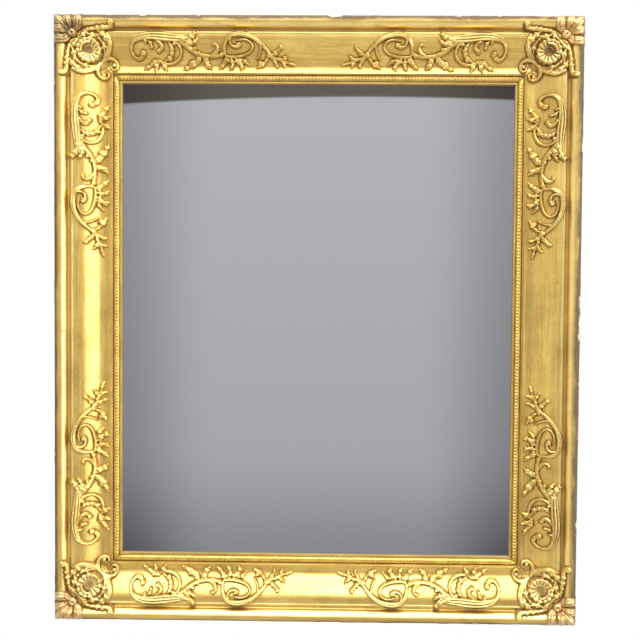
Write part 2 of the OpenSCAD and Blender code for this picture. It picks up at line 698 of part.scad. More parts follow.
module placed_button(p) { color(brass) place_button(p) turn_button(); }
module turn_button_left_lower() { placed_button(side_button_places[0]); }
module turn_button_left_upper() { placed_button(side_button_places[1]); }
module turn_button_right_lower() { placed_button(side_button_places[2]); }
module turn_button_right_upper() { placed_button(side_button_places[3]); }
module turn_button_bottom() { placed_button(end_button_places[0]); }
module turn_button_top() { placed_button(end_button_places[1]); }
module turn_button_screws() {
    color(iron)
        for (p = concat(side_button_places, end_button_places))
            place_button(p) translate([0, 0, 2 * button_play + button_t]) wood_screw();
}

rail_top();
rail_bottom();
rail_left();
rail_right();
sight_moulding_top();
sight_moulding_bottom();
sight_moulding_left();
sight_moulding_right();
back_batten_top();
back_batten_bottom();
back_batten_left();
back_batten_right();
corner_key_top_left();
corner_key_top_right();
corner_key_bottom_left();
corner_key_bottom_right();
scroll_top_left();
scroll_top_right();
scroll_bottom_left();
scroll_bottom_right();
scroll_left_upper();
scroll_left_lower();
scroll_right_upper();
scroll_right_lower();
cartouche_top_left();
cartouche_top_right();
cartouche_bottom_left();
cartouche_bottom_right();
palmette_top_left();
palmette_top_right();
palmette_bottom_left();
palmette_bottom_right();
hanger_strap_left();
hanger_strap_right();
d_ring_left();
d_ring_right();
hanger_screws();
turn_button_left_upper();
turn_button_left_lower();
turn_button_right_upper();
turn_button_right_lower();
turn_button_top();
turn_button_bottom();
turn_button_screws();
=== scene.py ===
# Gilded picture frame: the looks of each piece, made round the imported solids.
# Sizes here are in millimetres and the meshes are in metres. u runs from a rail's outer edge to
# its sight edge, v from the back to the front, and s along a rail from its corner.
import math

import bmesh
import bpy
import numpy as np
from mathutils import Matrix, Vector


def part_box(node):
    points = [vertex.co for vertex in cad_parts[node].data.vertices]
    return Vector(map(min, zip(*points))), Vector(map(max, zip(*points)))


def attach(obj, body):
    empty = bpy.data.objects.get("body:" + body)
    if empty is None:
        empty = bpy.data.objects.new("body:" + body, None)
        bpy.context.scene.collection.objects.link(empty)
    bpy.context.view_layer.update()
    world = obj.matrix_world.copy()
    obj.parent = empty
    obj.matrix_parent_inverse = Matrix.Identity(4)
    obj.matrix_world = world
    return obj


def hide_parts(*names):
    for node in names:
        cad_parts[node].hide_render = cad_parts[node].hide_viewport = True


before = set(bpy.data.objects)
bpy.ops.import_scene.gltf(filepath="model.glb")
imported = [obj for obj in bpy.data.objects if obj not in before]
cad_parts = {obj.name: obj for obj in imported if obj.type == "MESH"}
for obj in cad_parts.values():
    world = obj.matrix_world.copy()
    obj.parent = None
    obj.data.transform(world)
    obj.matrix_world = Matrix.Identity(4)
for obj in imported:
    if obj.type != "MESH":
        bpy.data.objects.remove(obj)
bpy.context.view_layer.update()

MM = 0.001
TINY = 1e-6
ROOT = "frame"
rail_low, rail_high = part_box("rail_bottom")
OUTER_W = (rail_high.x - rail_low.x) / MM
OUTER_H = -2 * rail_low.z / MM

# ---------------- the rail's profile
# Names end in W for a width, H for a height above the back, D for a depth and U for a place across.
RAIL_W = 86.0
REBATE_T = 18.0
RIM_H, FLANK_H, FLANK_W, NOSE_R = 58.0, 46.0, 9.0, 8.0
NOSE_WEAR = 1.4
GROOVE_W, GROOVE_D, FILLET_H, FILLET_W, SHOULDER_DROP = 5.0, 2.5, 50.5, 2.6, 0.5
HOLLOW_H, CURL_W, CURL_RISE = 28.5, 8.5, 2.0
GORGE_LEAN = 1.3
QUIRK_W, QUIRK_D, LIP_W, LIP_H = 2.0, 1.3, 2.6, 28.0
STRIP_W, STRIP_H, BED_D = 8.9, 5.5, 2.0
GROOVE_U = FLANK_W + NOSE_R
FILLET_U = GROOVE_U + GROOVE_W
SHOULDER_U = FILLET_U + FILLET_W
LIP_U = RAIL_W - LIP_W
STRIP_U = LIP_U - STRIP_W
QUIRK_U = STRIP_U - QUIRK_W
HOLLOW_U = QUIRK_U - CURL_W
BED_H = LIP_H - BED_D


def arc(cu, cv, ru, rv, start, end, steps):
    """Points of an oval's arc round (cu, cv), between two angles in degrees."""
    angles = np.radians(np.linspace(start, end, steps + 1))
    return [(cu + ru * math.cos(a), cv + rv * math.sin(a)) for a in angles]


def nose_line(steps):
    """The rim's inner round, rubbed flatter in its middle."""
    angles = np.radians(np.linspace(82, 8, steps + 1))
    return [(FLANK_W + NOSE_R * math.cos(a) ** NOSE_WEAR,
             RIM_H - NOSE_R + NOSE_R * math.sin(a) ** NOSE_WEAR) for a in angles]


def flank_line():
    return arc(FLANK_W, FLANK_H, FLANK_W, RIM_H - FLANK_H, 180, 90, 14)


def gorge_line(steps=30):
    """The wide fall of the gorge, and the small rise beside the sight edge."""
    drop = FILLET_H - SHOULDER_DROP - HOLLOW_H
    shares = np.linspace(0, 1, steps + 1)
    line = [(SHOULDER_U + (HOLLOW_U - SHOULDER_U) * t,
             HOLLOW_H + drop * (1 + math.cos(math.pi * t ** GORGE_LEAN)) / 2) for t in shares]
    return line + [(HOLLOW_U + CURL_W * t, HOLLOW_H + CURL_RISE * t * t) for t in (0.25, 0.5, 0.75, 1)]


def front_line():
    """The moulding's front, from the outer side to the sight edge, with its corners still sharp."""
    groove_r, fillet_r = GROOVE_W / 2, FILLET_W / 2
    shoulder_h = FILLET_H - SHOULDER_DROP
    quirk_h = HOLLOW_H + CURL_RISE - QUIRK_D
    return (flank_line() + nose_line(12)
            + arc(GROOVE_U + groove_r, RIM_H - NOSE_R, groove_r, GROOVE_D, 180, 360, 10)
            + arc(FILLET_U + fillet_r, shoulder_h, fillet_r, SHOULDER_DROP, 180, 20, 6)
            + gorge_line()
            + [(QUIRK_U, quirk_h), (STRIP_U, quirk_h), (STRIP_U, BED_H), (LIP_U, BED_H),
               (LIP_U, LIP_H), (RAIL_W, LIP_H)])


def softened(points, radius):
    """A closed outline with each sharp corner turned into a small round."""
    ring = [Vector(p) for p in points]
    made = []
    for i, p in enumerate(ring):
        a, b = ring[i - 1] - p, ring[(i + 1) % len(ring)] - p
        if min(a.length, b.length) < TINY:
            continue
        if a.angle(b) > math.radians(150):
            made.append(tuple(p))
            continue
        r = min(radius, a.length * 0.45, b.length * 0.45)
        q0, q1 = p + a.normalized() * r, p + b.normalized() * r
        made += [tuple(q0), tuple((p * 2 + q0 + q1) / 4), tuple(q1)]
    return made


CORNER_R = 0.45
OUTER_SIDE = [(0, REBATE_T), (0, 27), (0, 38)]
BACK_PLANE = [(RAIL_W, REBATE_T), (60, REBATE_T), (30, REBATE_T)]
RAIL_OUTLINE = np.array(softened(OUTER_SIDE + front_line() + BACK_PLANE, CORNER_R))
# What the casts lie on: the front without its groove, and without the strip's bed
BED_LINE = np.array(
    flank_line() + arc(FLANK_W, RIM_H - NOSE_R, NOSE_R, NOSE_R, 75, 20, 5)
    + [(FILLET_U, FILLET_H)] + gorge_line() + [(RAIL_W + 10, HOLLOW_H + CURL_RISE)])


def bed_height(u):
    return np.interp(u, BED_LINE[:, 0], BED_LINE[:, 1])


# ---------------- places and meshes
def place(points, way):
    """Points of (s, u, v) on a rail, put in the frame's own place, in metres.

    way is three 0s or 1s: counted from the right, counted from the top, upright."""
    right, top, upright = way
    s, u, v = np.asarray(points, float).T
    x, z = (u, s) if upright else (s, u)
    x, z = x - OUTER_W / 2, z - OUTER_H / 2
    return np.column_stack([-x if right else x, -v, -z if top else z]) * MM


def is_turned(way):
    """Whether that place turns a mesh inside out."""
    return sum(way) % 2 == 1


def add_object(name, data):
    obj = bpy.data.objects.new(name, data)
    bpy.context.scene.collection.objects.link(obj)
    return obj


def new_object(name, points, faces, turned=False):
    mesh = bpy.data.meshes.new(name)
    if turned:
        faces = [face[::-1] for face in faces]
    mesh.from_pydata(np.asarray(points).tolist(), [], faces)
    mesh.update()
    return add_object(name, mesh)


def swept(section, length, stations):
    """A section run along a rail and mitred at both ends: s, u and v of its points, and its faces."""
    shares = np.linspace(0, 1, stations + 1)[:, None]
    u, v = [np.repeat(section[None, :, k], stations + 1, 0) for k in (0, 1)]
    s = u + (length - 2 * u) * shares
    grid = np.arange(u.size).reshape(u.shape)
    beside = np.roll(grid, -1, 1)
    faces = np.stack([grid[:-1], beside[:-1], beside[1:], grid[1:]], -1).reshape(-1, 4).tolist()
    return s, u, v, faces + [grid[0][::-1].tolist(), grid[-1].tolist()]


def put_layer(obj, name, values):
    layer = obj.data.attributes.new(name, "FLOAT", "POINT")
    layer.data.foreach_set("value", np.asarray(values, np.float32).ravel())


def finish_piece(obj, body, node, material, angle=None):
    """Paints a piece, hangs it on its body and hides the solid that it stands for. Edges sharper than
    angle stay sharp.
    """
    obj.data.materials.clear()
    obj.data.materials.append(material)
    obj.data.shade_smooth()
    if angle:
        obj.data.set_sharp_from_angle(angle=math.radians(angle))
    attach(obj, body)
    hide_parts(node)


def plain_mesh(obj):
    """The object's modifiers made final."""
    graph = bpy.context.evaluated_depsgraph_get()
    mesh = bpy.data.meshes.new_from_object(obj.evaluated_get(graph))
    obj.modifiers.clear()
    old, obj.data = obj.data, mesh
    bpy.data.meshes.remove(old)


def soft_noise(rows, cols, cell, seed):
    """A smooth random field from -1 to 1, whose waves are about cell samples long."""
    rng = np.random.default_rng(seed)
    y, x = np.linspace(0, rows / cell, rows), np.linspace(0, cols / cell, cols)
    coarse = rng.uniform(-1, 1, (int(y[-1]) + 3, int(x[-1]) + 3))
    yi, xi = y.astype(int), x.astype(int)
    ty, tx = y - yi, x - xi
    ty, tx = (ty * ty * (3 - 2 * ty))[:, None], (tx * tx * (3 - 2 * tx))[None, :]
    a, b = coarse[yi][:, xi], coarse[yi][:, xi + 1]
    c, d = coarse[yi + 1][:, xi], coarse[yi + 1][:, xi + 1]
    return (a * (1 - tx) + b * tx) * (1 - ty) + (c * (1 - tx) + d * tx) * ty


def blurred(field, reach):
    """A field blurred by a bell curve of that reach, in samples."""
    n = max(1, int(math.ceil(reach * 2.5)))
    weights = np.exp(-0.5 * (np.arange(-n, n + 1) / reach) ** 2)
    weights /= weights.sum()
    for axis in (0, 1):
        padded = np.pad(field, [(n, n) if k == axis else (0, 0) for k in (0, 1)], mode="edge")
        across = np.arange(field.shape[axis])
        field = sum(w * np.take(padded, across + i, axis) for i, w in enumerate(weights))
    return field


def bell(values, middle, reach):
    """1 where values are at the middle, falling to 0 on both sides of it."""
    return np.exp(-(((values - middle) / reach) ** 2))


# ---------------- node trees written as expressions
def maths(operation, swapped=False):
    """A method that puts a Math node on the board. swapped puts the socket's own value last."""
    def method(self, *others):
        values = [*others, self] if swapped else [self, *others]
        return self.board.add("ShaderNodeMath", dict(enumerate(values)), {"operation": operation})
    return method


class Flow:
    """A socket's value, which can be used in an expression."""

    __add__ = __radd__ = maths("ADD")
    __mul__ = __rmul__ = maths("MULTIPLY")
    __sub__, __rsub__ = maths("SUBTRACT"), maths("SUBTRACT", True)
    __truediv__ = maths("DIVIDE")
    larger, smaller = maths("MAXIMUM"), maths("MINIMUM")
    unsigned, there_and_back = maths("ABSOLUTE"), maths("PINGPONG")

    def __init__(self, board, socket):
        self.board, self.socket = board, socket

    def between(self, low, high):
        """0 below low, 1 above high and a smooth step between them."""
        inputs = {0: self, 1: low, 2: high, 3: 0.0, 4: 1.0}
        return self.board.add("ShaderNodeMapRange", inputs, {"interpolation_type": "SMOOTHSTEP"})


class Board:
    """A material's or the world's node tree."""

    def __init__(self, tree):
        self.tree = tree
        tree.nodes.clear()

    def add(self, kind, inputs=None, settings=None, output=0):
        """A new node with those inputs and settings. Returns one of its outputs, if it has any."""
        node = self.tree.nodes.new(kind)
        for name, value in (settings or {}).items():
            setattr(node, name, value)
        for key, value in (inputs or {}).items():
            if isinstance(value, Flow):
                self.tree.links.new(value.socket, node.inputs[key])
            else:
                node.inputs[key].default_value = value
        return Flow(self, node.outputs[output]) if node.outputs else node

    def place(self, scale=(1, 1, 1), turn=(0, 0, 0)):
        """The object's own coordinates, in millimetres, turned and then stretched."""
        here = self.add("ShaderNodeTexCoord", output=3)
        size = tuple(MM / k for k in scale)
        inputs = {"Vector": here, "Rotation": turn, "Scale": size}
        return self.add("ShaderNodeMapping", inputs, {"vector_type": "TEXTURE"})

    def axes(self, where):
        """The X, Y and Z of a place."""
        return [self.add("ShaderNodeSeparateXYZ", {0: where}, output=k) for k in (0, 1, 2)]

    def noise(self, where, size, detail=3.0, roughness=0.55):
        """A cloudy pattern from 0 to 1 whose spots are about size millimetres."""
        inputs = {"Vector": where, "Scale": 1 / size, "Detail": detail, "Roughness": roughness}
        return self.add("ShaderNodeTexNoise", inputs)

    def layer(self, name):
        return self.add("ShaderNodeAttribute", None, {"attribute_name": name}, 2)

    def mix(self, share, a, b):
        a, b = [k if isinstance(k, Flow) else (*k, 1.0) for k in (a, b)]
        return self.add("ShaderNodeMix", {0: share, 6: a, 7: b}, {"data_type": "RGBA"}, 2)

    def bump(self, height, depth, under=None):
        """A bump of that depth in millimetres, on top of another one if under is given."""
        inputs = {"Height": height, "Distance": depth * MM}
        if under:
            inputs["Normal"] = under
        return self.add("ShaderNodeBump", inputs)


def new_material(name):
    material = bpy.data.materials.new(name)
    material.use_nodes = True
    return material, Board(material.node_tree)


def shade(board, **inputs):
    """The Principled shader with those inputs, as the material's surface."""
    named = {name.replace("_", " "): value for name, value in inputs.items()}
    surface = board.add("ShaderNodeBsdfPrincipled", named)
    board.add("ShaderNodeOutputMaterial", {"Surface": surface})


# ---------------- finishes
GOLD = (0.84, 0.59, 0.145)
PALE_GOLD = (0.96, 0.76, 0.29)
DEEP_GOLD = (0.62, 0.385, 0.08)
BOLE = (0.3, 0.09, 0.03)
GESSO = (0.76, 0.7, 0.56)
OLD_GESSO = (0.5, 0.42, 0.29)
OCHRE = (0.25, 0.155, 0.05)
GRIME_AND_SHADE = (0.2, 0.1, 0.022)
DARK_EDGE = (0.11, 0.075, 0.038)
DUST = (0.55, 0.35, 0.15)
RAW_WOOD = (0.19, 0.12, 0.06)
OLD_WASH = (0.13, 0.085, 0.035)
WOOD_STAIN = (0.09, 0.055, 0.03)
GOLD_LEAF = 80.0


def gilding(name, axis):
    """Worn gold leaf on a rail that runs along that axis, 0 for X and 2 for Z."""
    material, b = new_material(name)
    here = b.place()
    cloud = b.noise(here, 38.0, 4.0)
    fine = b.noise(here, 3.2, 5.0, 0.65)
    speck = b.noise(here, 0.9, 3.0, 0.6)
    grime_and_shade, chip, bare, burnish_and_highlight = b.layer("grime_and_shade"), b.layer("chip"), b.layer("bare"), b.layer("burnish_and_highlight")
    # the burnisher leaves streaks along the rail
    streak = b.noise(b.place([0.045 if k == axis else 1 for k in (0, 1, 2)]), 3.4, 4.0, 0.6)

    # each square leaf laps over the last
    along = b.axes(here)[axis] + (cloud - 0.5) * 3.0
    lap = (along.there_and_back(GOLD_LEAF / 2) - 0.6).unsigned()
    lap = (1 - lap.between(0.2, 1.2)) * fine.between(0.45, 0.65) * cloud.between(0.4, 0.6)
    rubbed = (b.noise(here, 21.0, 6.0, 0.7) + fine * 0.35).between(0.76, 0.94)
    pits = (1 - speck.between(0.24, 0.36)) * cloud.between(0.35, 0.6)

    gold = b.mix((cloud * 0.6 + streak * 0.6).between(0.42, 0.78), DEEP_GOLD, GOLD)
    gold = b.mix(fine.between(0.45, 0.75) * 0.35 + streak.between(0.55, 0.75) * 0.3, gold, PALE_GOLD)
    # painted highlight, partly real burnish: paler gold along the rim's nose and the fillet's shoulder,
    # where the lamps shine on them
    gold = b.mix(burnish_and_highlight * (0.65 + cloud * 0.4), gold, PALE_GOLD)
    tarnish = b.noise(here, 85.0, 4.0, 0.6).between(0.42, 0.7) * (0.5 + streak * 0.6)
    gold = b.mix(tarnish * 0.32, gold, OCHRE)
    gold = b.mix(rubbed * 0.6 + lap * 0.2, gold, BOLE)
    gold = b.mix(pits * 0.5, gold, GRIME_AND_SHADE)
    # painted shade and dirt: this layer darkens the grooves and the lip with painted shade, and the
    # strip's bed, the casts' feet and the outer flank with dirt and painted shade
    dirt_and_shade = (grime_and_shade * (0.55 + fine * 0.9)).smaller(1.0)
    gold = b.mix(dirt_and_shade * 0.8, gold, GRIME_AND_SHADE)
    under = b.mix((cloud * 0.5 + streak * 0.6).between(0.42, 0.66), OLD_WASH, RAW_WOOD)
    under = b.mix(fine.between(0.48, 0.7), DARK_EDGE, under)
    worn = (bare * (0.6 + fine * 0.8)).smaller(1.0)
    colour = b.mix(worn, gold, under)
    broken = (chip + (fine - 0.5) * 0.9).between(0.45, 0.6)
    colour = b.mix(broken, colour, b.mix(speck.between(0.3, 0.7), OLD_GESSO, GESSO))

    cover = (0.94 - rubbed * 0.45 - dirt_and_shade * 0.5).larger(0.0) * (1 - worn * 0.6) * (1 - broken)
    rough = 0.27 + fine * 0.1 + streak * 0.08 + dirt_and_shade * 0.25 + rubbed * 0.12
    rough = rough + (worn + broken).smaller(1.0) * 0.3
    varnish = (1 - worn) * (1 - broken) * (1 - dirt_and_shade * 0.9) * (0.45 + cloud * 0.35)
    relief = b.bump(fine + cloud * 1.5 + lap * 0.3 - broken * 2.0, 0.12)
    relief = b.bump(speck, 0.03, relief)
    shade(b, Base_Color=colour, Metallic=cover, Roughness=rough, Coat_Weight=varnish,
          Coat_Roughness=0.32, Normal=relief)
    return material


def cast_gilding(name, dust, hollow_darkening, film=DUST, mottle=PALE_GOLD):
    """Gold leaf on cast composition: burnished and painted paler on top, partly a painted highlight, and
    darkened in its hollows by brown soiling and painted shade.

    dust is how thick the film of dust on it lies, and the number after it how dark its hollows are
    painted, by soiling and painted shade."""
    material, b = new_material(name)
    here = b.place()
    cloud = b.noise(here, 14.0, 4.0)
    fine = b.noise(here, 1.8, 4.0, 0.6)
    hollow, top = b.layer("hollow"), b.layer("top")
    # burnished and painted paler on the highest relief, partly a painted highlight
    burnish_and_highlight = top.between(0.45, 0.95) * cloud.between(0.25, 0.6)
    gold = b.mix(cloud.between(0.3, 0.7), DEEP_GOLD, GOLD)
    gold = b.mix(burnish_and_highlight * 0.75, gold, PALE_GOLD)
    gold = b.mix((cloud + fine * 0.5).between(0.86, 0.98) * 0.5, gold, BOLE)
    dusty = ((fine * 0.7 + cloud * 0.6) * 1.1 + dust).between(0.9, 1.5)
    gold = b.mix(dusty * min(dust * 1.3, 1.0), gold, film)
    if dust > 0.4:
        gold = b.mix(fine.between(0.46, 0.62) * 0.7, gold, mottle)
    # the hollows darkened by soiling and painted shade, most on the casts that stand in shade
    dirt_and_shade = (hollow * (0.65 + fine * 0.6 + hollow_darkening)).smaller(1.0)
    gold = b.mix(dirt_and_shade * min(0.75 + hollow_darkening * 0.15, 0.92), gold, DARK_EDGE if hollow_darkening > 2.0 else GRIME_AND_SHADE)
    rough = 0.29 - burnish_and_highlight * 0.07 + dirt_and_shade * 0.3 + fine * 0.08 + dusty * dust * 0.08
    cover = (0.95 - dirt_and_shade * 0.6 - dusty * dust * 0.15).larger(0.0)
    relief = b.bump(fine + cloud, 0.2 + dust * 0.5)
    shade(b, Base_Color=gold, Metallic=cover, Roughness=rough, Coat_Weight=0.5 - dirt_and_shade * 0.4,
          Coat_Roughness=0.3, Normal=relief)
    return material


def bare_wood(name, turn, pale, dark, ring_gap=2.6):
    """Old bare wood whose grain runs along X, turned about Y by turn. ring_gap is in millimetres."""
    material, b = new_material(name)
    here = b.place(turn=(0, turn, 0))
    grain = b.place((0.022, 1, 1), (0, turn, 0))
    drift = b.noise(here, 60.0, 2.0)
    lines = b.noise(grain, ring_gap, 4.0, 0.6)
    fibres = b.noise(grain, 0.5, 3.0, 0.7)
    stain = b.noise(here, 26.0, 5.0, 0.65)
    colour = b.mix(lines.between(0.38, 0.62), pale, dark)
    colour = b.mix(fibres.between(0.5, 0.8) * 0.5, colour, dark)
    colour = b.mix((stain * 0.8 + drift * 0.6).between(0.6, 1.0) * 0.6, colour, WOOD_STAIN)
    relief = b.bump(lines + fibres * 0.7, 0.1)
    shade(b, Base_Color=colour, Roughness=0.72 + lines * 0.12, Normal=relief)
    return material


def aged_metal(name, bright, dull, spot, roughness):
    """Old metal that has gone dull in clouds, with dark or rusty spots."""
    material, b = new_material(name)
    here = b.place()
    cloud = b.noise(here, 4.5, 5.0, 0.6)
    scratch = b.noise(b.place((1, 1, 0.05)), 0.35, 3.0, 0.6)
    spots = b.noise(here, 1.6, 4.0, 0.7)
    colour = b.mix(cloud.between(0.35, 0.7), bright, dull)
    colour = b.mix(spots.between(0.62, 0.72) * 0.8, colour, spot)
    cover = 1 - spots.between(0.62, 0.75) * 0.6
    rough = roughness + cloud * 0.18 + spots.between(0.6, 0.75) * 0.25
    shade(b, Base_Color=colour, Metallic=cover, Roughness=rough, Normal=b.bump(scratch + cloud, 0.03))
    return material


gilt_across = gilding("gilding_across", 0)
gilt_upright = gilding("gilding_upright", 2)
clean_cast = cast_gilding("clean_gilding", dust=0.0, hollow_darkening=0.2)
pale_cast = cast_gilding("pale_gilding", dust=0.3, hollow_darkening=0.6, film=(0.68, 0.55, 0.32))
worn_cast = cast_gilding("worn_gilding", dust=0.15, hollow_darkening=0.7)
soft_cast = cast_gilding("soft_gilding", dust=0.38, hollow_darkening=0.6, film=(0.38, 0.31, 0.17))
# these finishes stand partly for painted shade: the right side's casts get soiling and painted shade in
# their hollows, and the top left palmette is painted darker as the shaded corner
grimy_shaded_cast = cast_gilding("grimy_shaded_gilding", dust=0.4, hollow_darkening=1.7, film=(0.27, 0.215, 0.115))
dusty_palmette = cast_gilding(
    "dusty_palmette", dust=0.55, hollow_darkening=0.5, film=(0.63, 0.41, 0.22), mottle=(0.56, 0.34, 0.2))
dusty_shaded_palmette = cast_gilding(
    "dusty_shaded_palmette", dust=0.75, hollow_darkening=3.4, film=(0.33, 0.21, 0.08), mottle=(0.8, 0.6, 0.26))
PINE, DARK_PINE = (0.4, 0.25, 0.12), (0.25, 0.14, 0.06)
pine_across = bare_wood("pine_across", 0.0, PINE, DARK_PINE)
pine_upright = bare_wood("pine_upright", math.pi / 2, PINE, DARK_PINE)
BEECH, DARK_BEECH = (0.3, 0.165, 0.075), (0.19, 0.095, 0.04)
beech_rising = bare_wood("beech_rising", math.pi / 4, BEECH, DARK_BEECH, ring_gap=1.2)
beech_falling = bare_wood("beech_falling", -math.pi / 4, BEECH, DARK_BEECH, ring_gap=1.2)
brass = aged_metal("dull_brass", bright=(0.62, 0.42, 0.17), dull=(0.36, 0.22, 0.08),
                   spot=(0.07, 0.05, 0.025), roughness=0.3)
iron = aged_metal("blackened_iron", bright=(0.16, 0.15, 0.145), dull=(0.07, 0.065, 0.06),
                  spot=(0.17, 0.07, 0.03), roughness=0.4)

# ---------------- cast ornament as height maps
# A band's shape takes t, from -1 to 1 across the band, and along, from 0 to 1 on its way.
SUNK = 0.6
# A lobe of a leaf, in shares of the leaf: how far ahead and beside, half width, height
LOBE = [(-0.34, 0.06, 0.52, 0.86), (0.02, 0.32, 0.64, 1), (0.38, 0.56, 0.5, 0.92), (0.76, 0.74, 0.15, 0.5)]


def smooth_route(rows, steps=7):
    """A smooth curve through rows of numbers, with that many steps to each gap."""
    p = np.array(rows, float)
    made = []
    for i in range(len(p) - 1):
        a, b, c, d = p[max(i - 1, 0)], p[i], p[i + 1], p[min(i + 2, len(p) - 1)]
        for t in np.arange(steps) / steps:
            made.append(0.5 * (2 * b + (c - a) * t + (2 * a - 5 * b + 4 * c - d) * t * t
                               + (3 * b - a - 3 * c + d) * t ** 3))
    return np.array(made + [p[-1]])


def rolled(t, along):
    """A scroll's band: three rolled ridges with hollows between them."""
    return (1 - t ** 4).clip(0) ** 0.5 * (1 - 0.34 * bell(t, -0.38, 0.17) - 0.28 * bell(t, 0.34, 0.15))


def plumed(t, along):
    """A scroll's broad band: long feathers that run slowly from one edge to the other."""
    feathers = 0.84 + 0.16 * np.cos(2 * math.pi * (1.5 * t + 1.3 * along))
    return (1 - t ** 4).clip(0) ** 0.5 * feathers


def dished(t, along):
    """A broad field that dips between its edges."""
    return (1 - t ** 6).clip(0) ** 0.5 * (0.72 + 0.28 * t * t)


def leafy(t, along):
    """A leaf: a raised rib, a hollow on each side of it and a lifted edge."""
    wide = np.abs(t)
    rib = 0.3 * bell(wide, 0, 0.14) - 0.16 * bell(wide, 0.36, 0.18)
    return (1 - wide ** 3.4).clip(0) ** 0.6 * (0.8 + rib)


def ribbed(t, along):
    """A palmette's lobe: round, with a sharp rib and a groove at each side of it."""
    wide = np.abs(t)
    rib = 0.22 * bell(wide, 0, 0.12) - 0.16 * bell(wide, 0.4, 0.14)
    return (1 - wide ** 2.6).clip(0) ** 0.55 * (0.82 + rib)


def rounded(t, along):
    """A plain round band."""
    return (1 - t * t).clip(0) ** 0.5


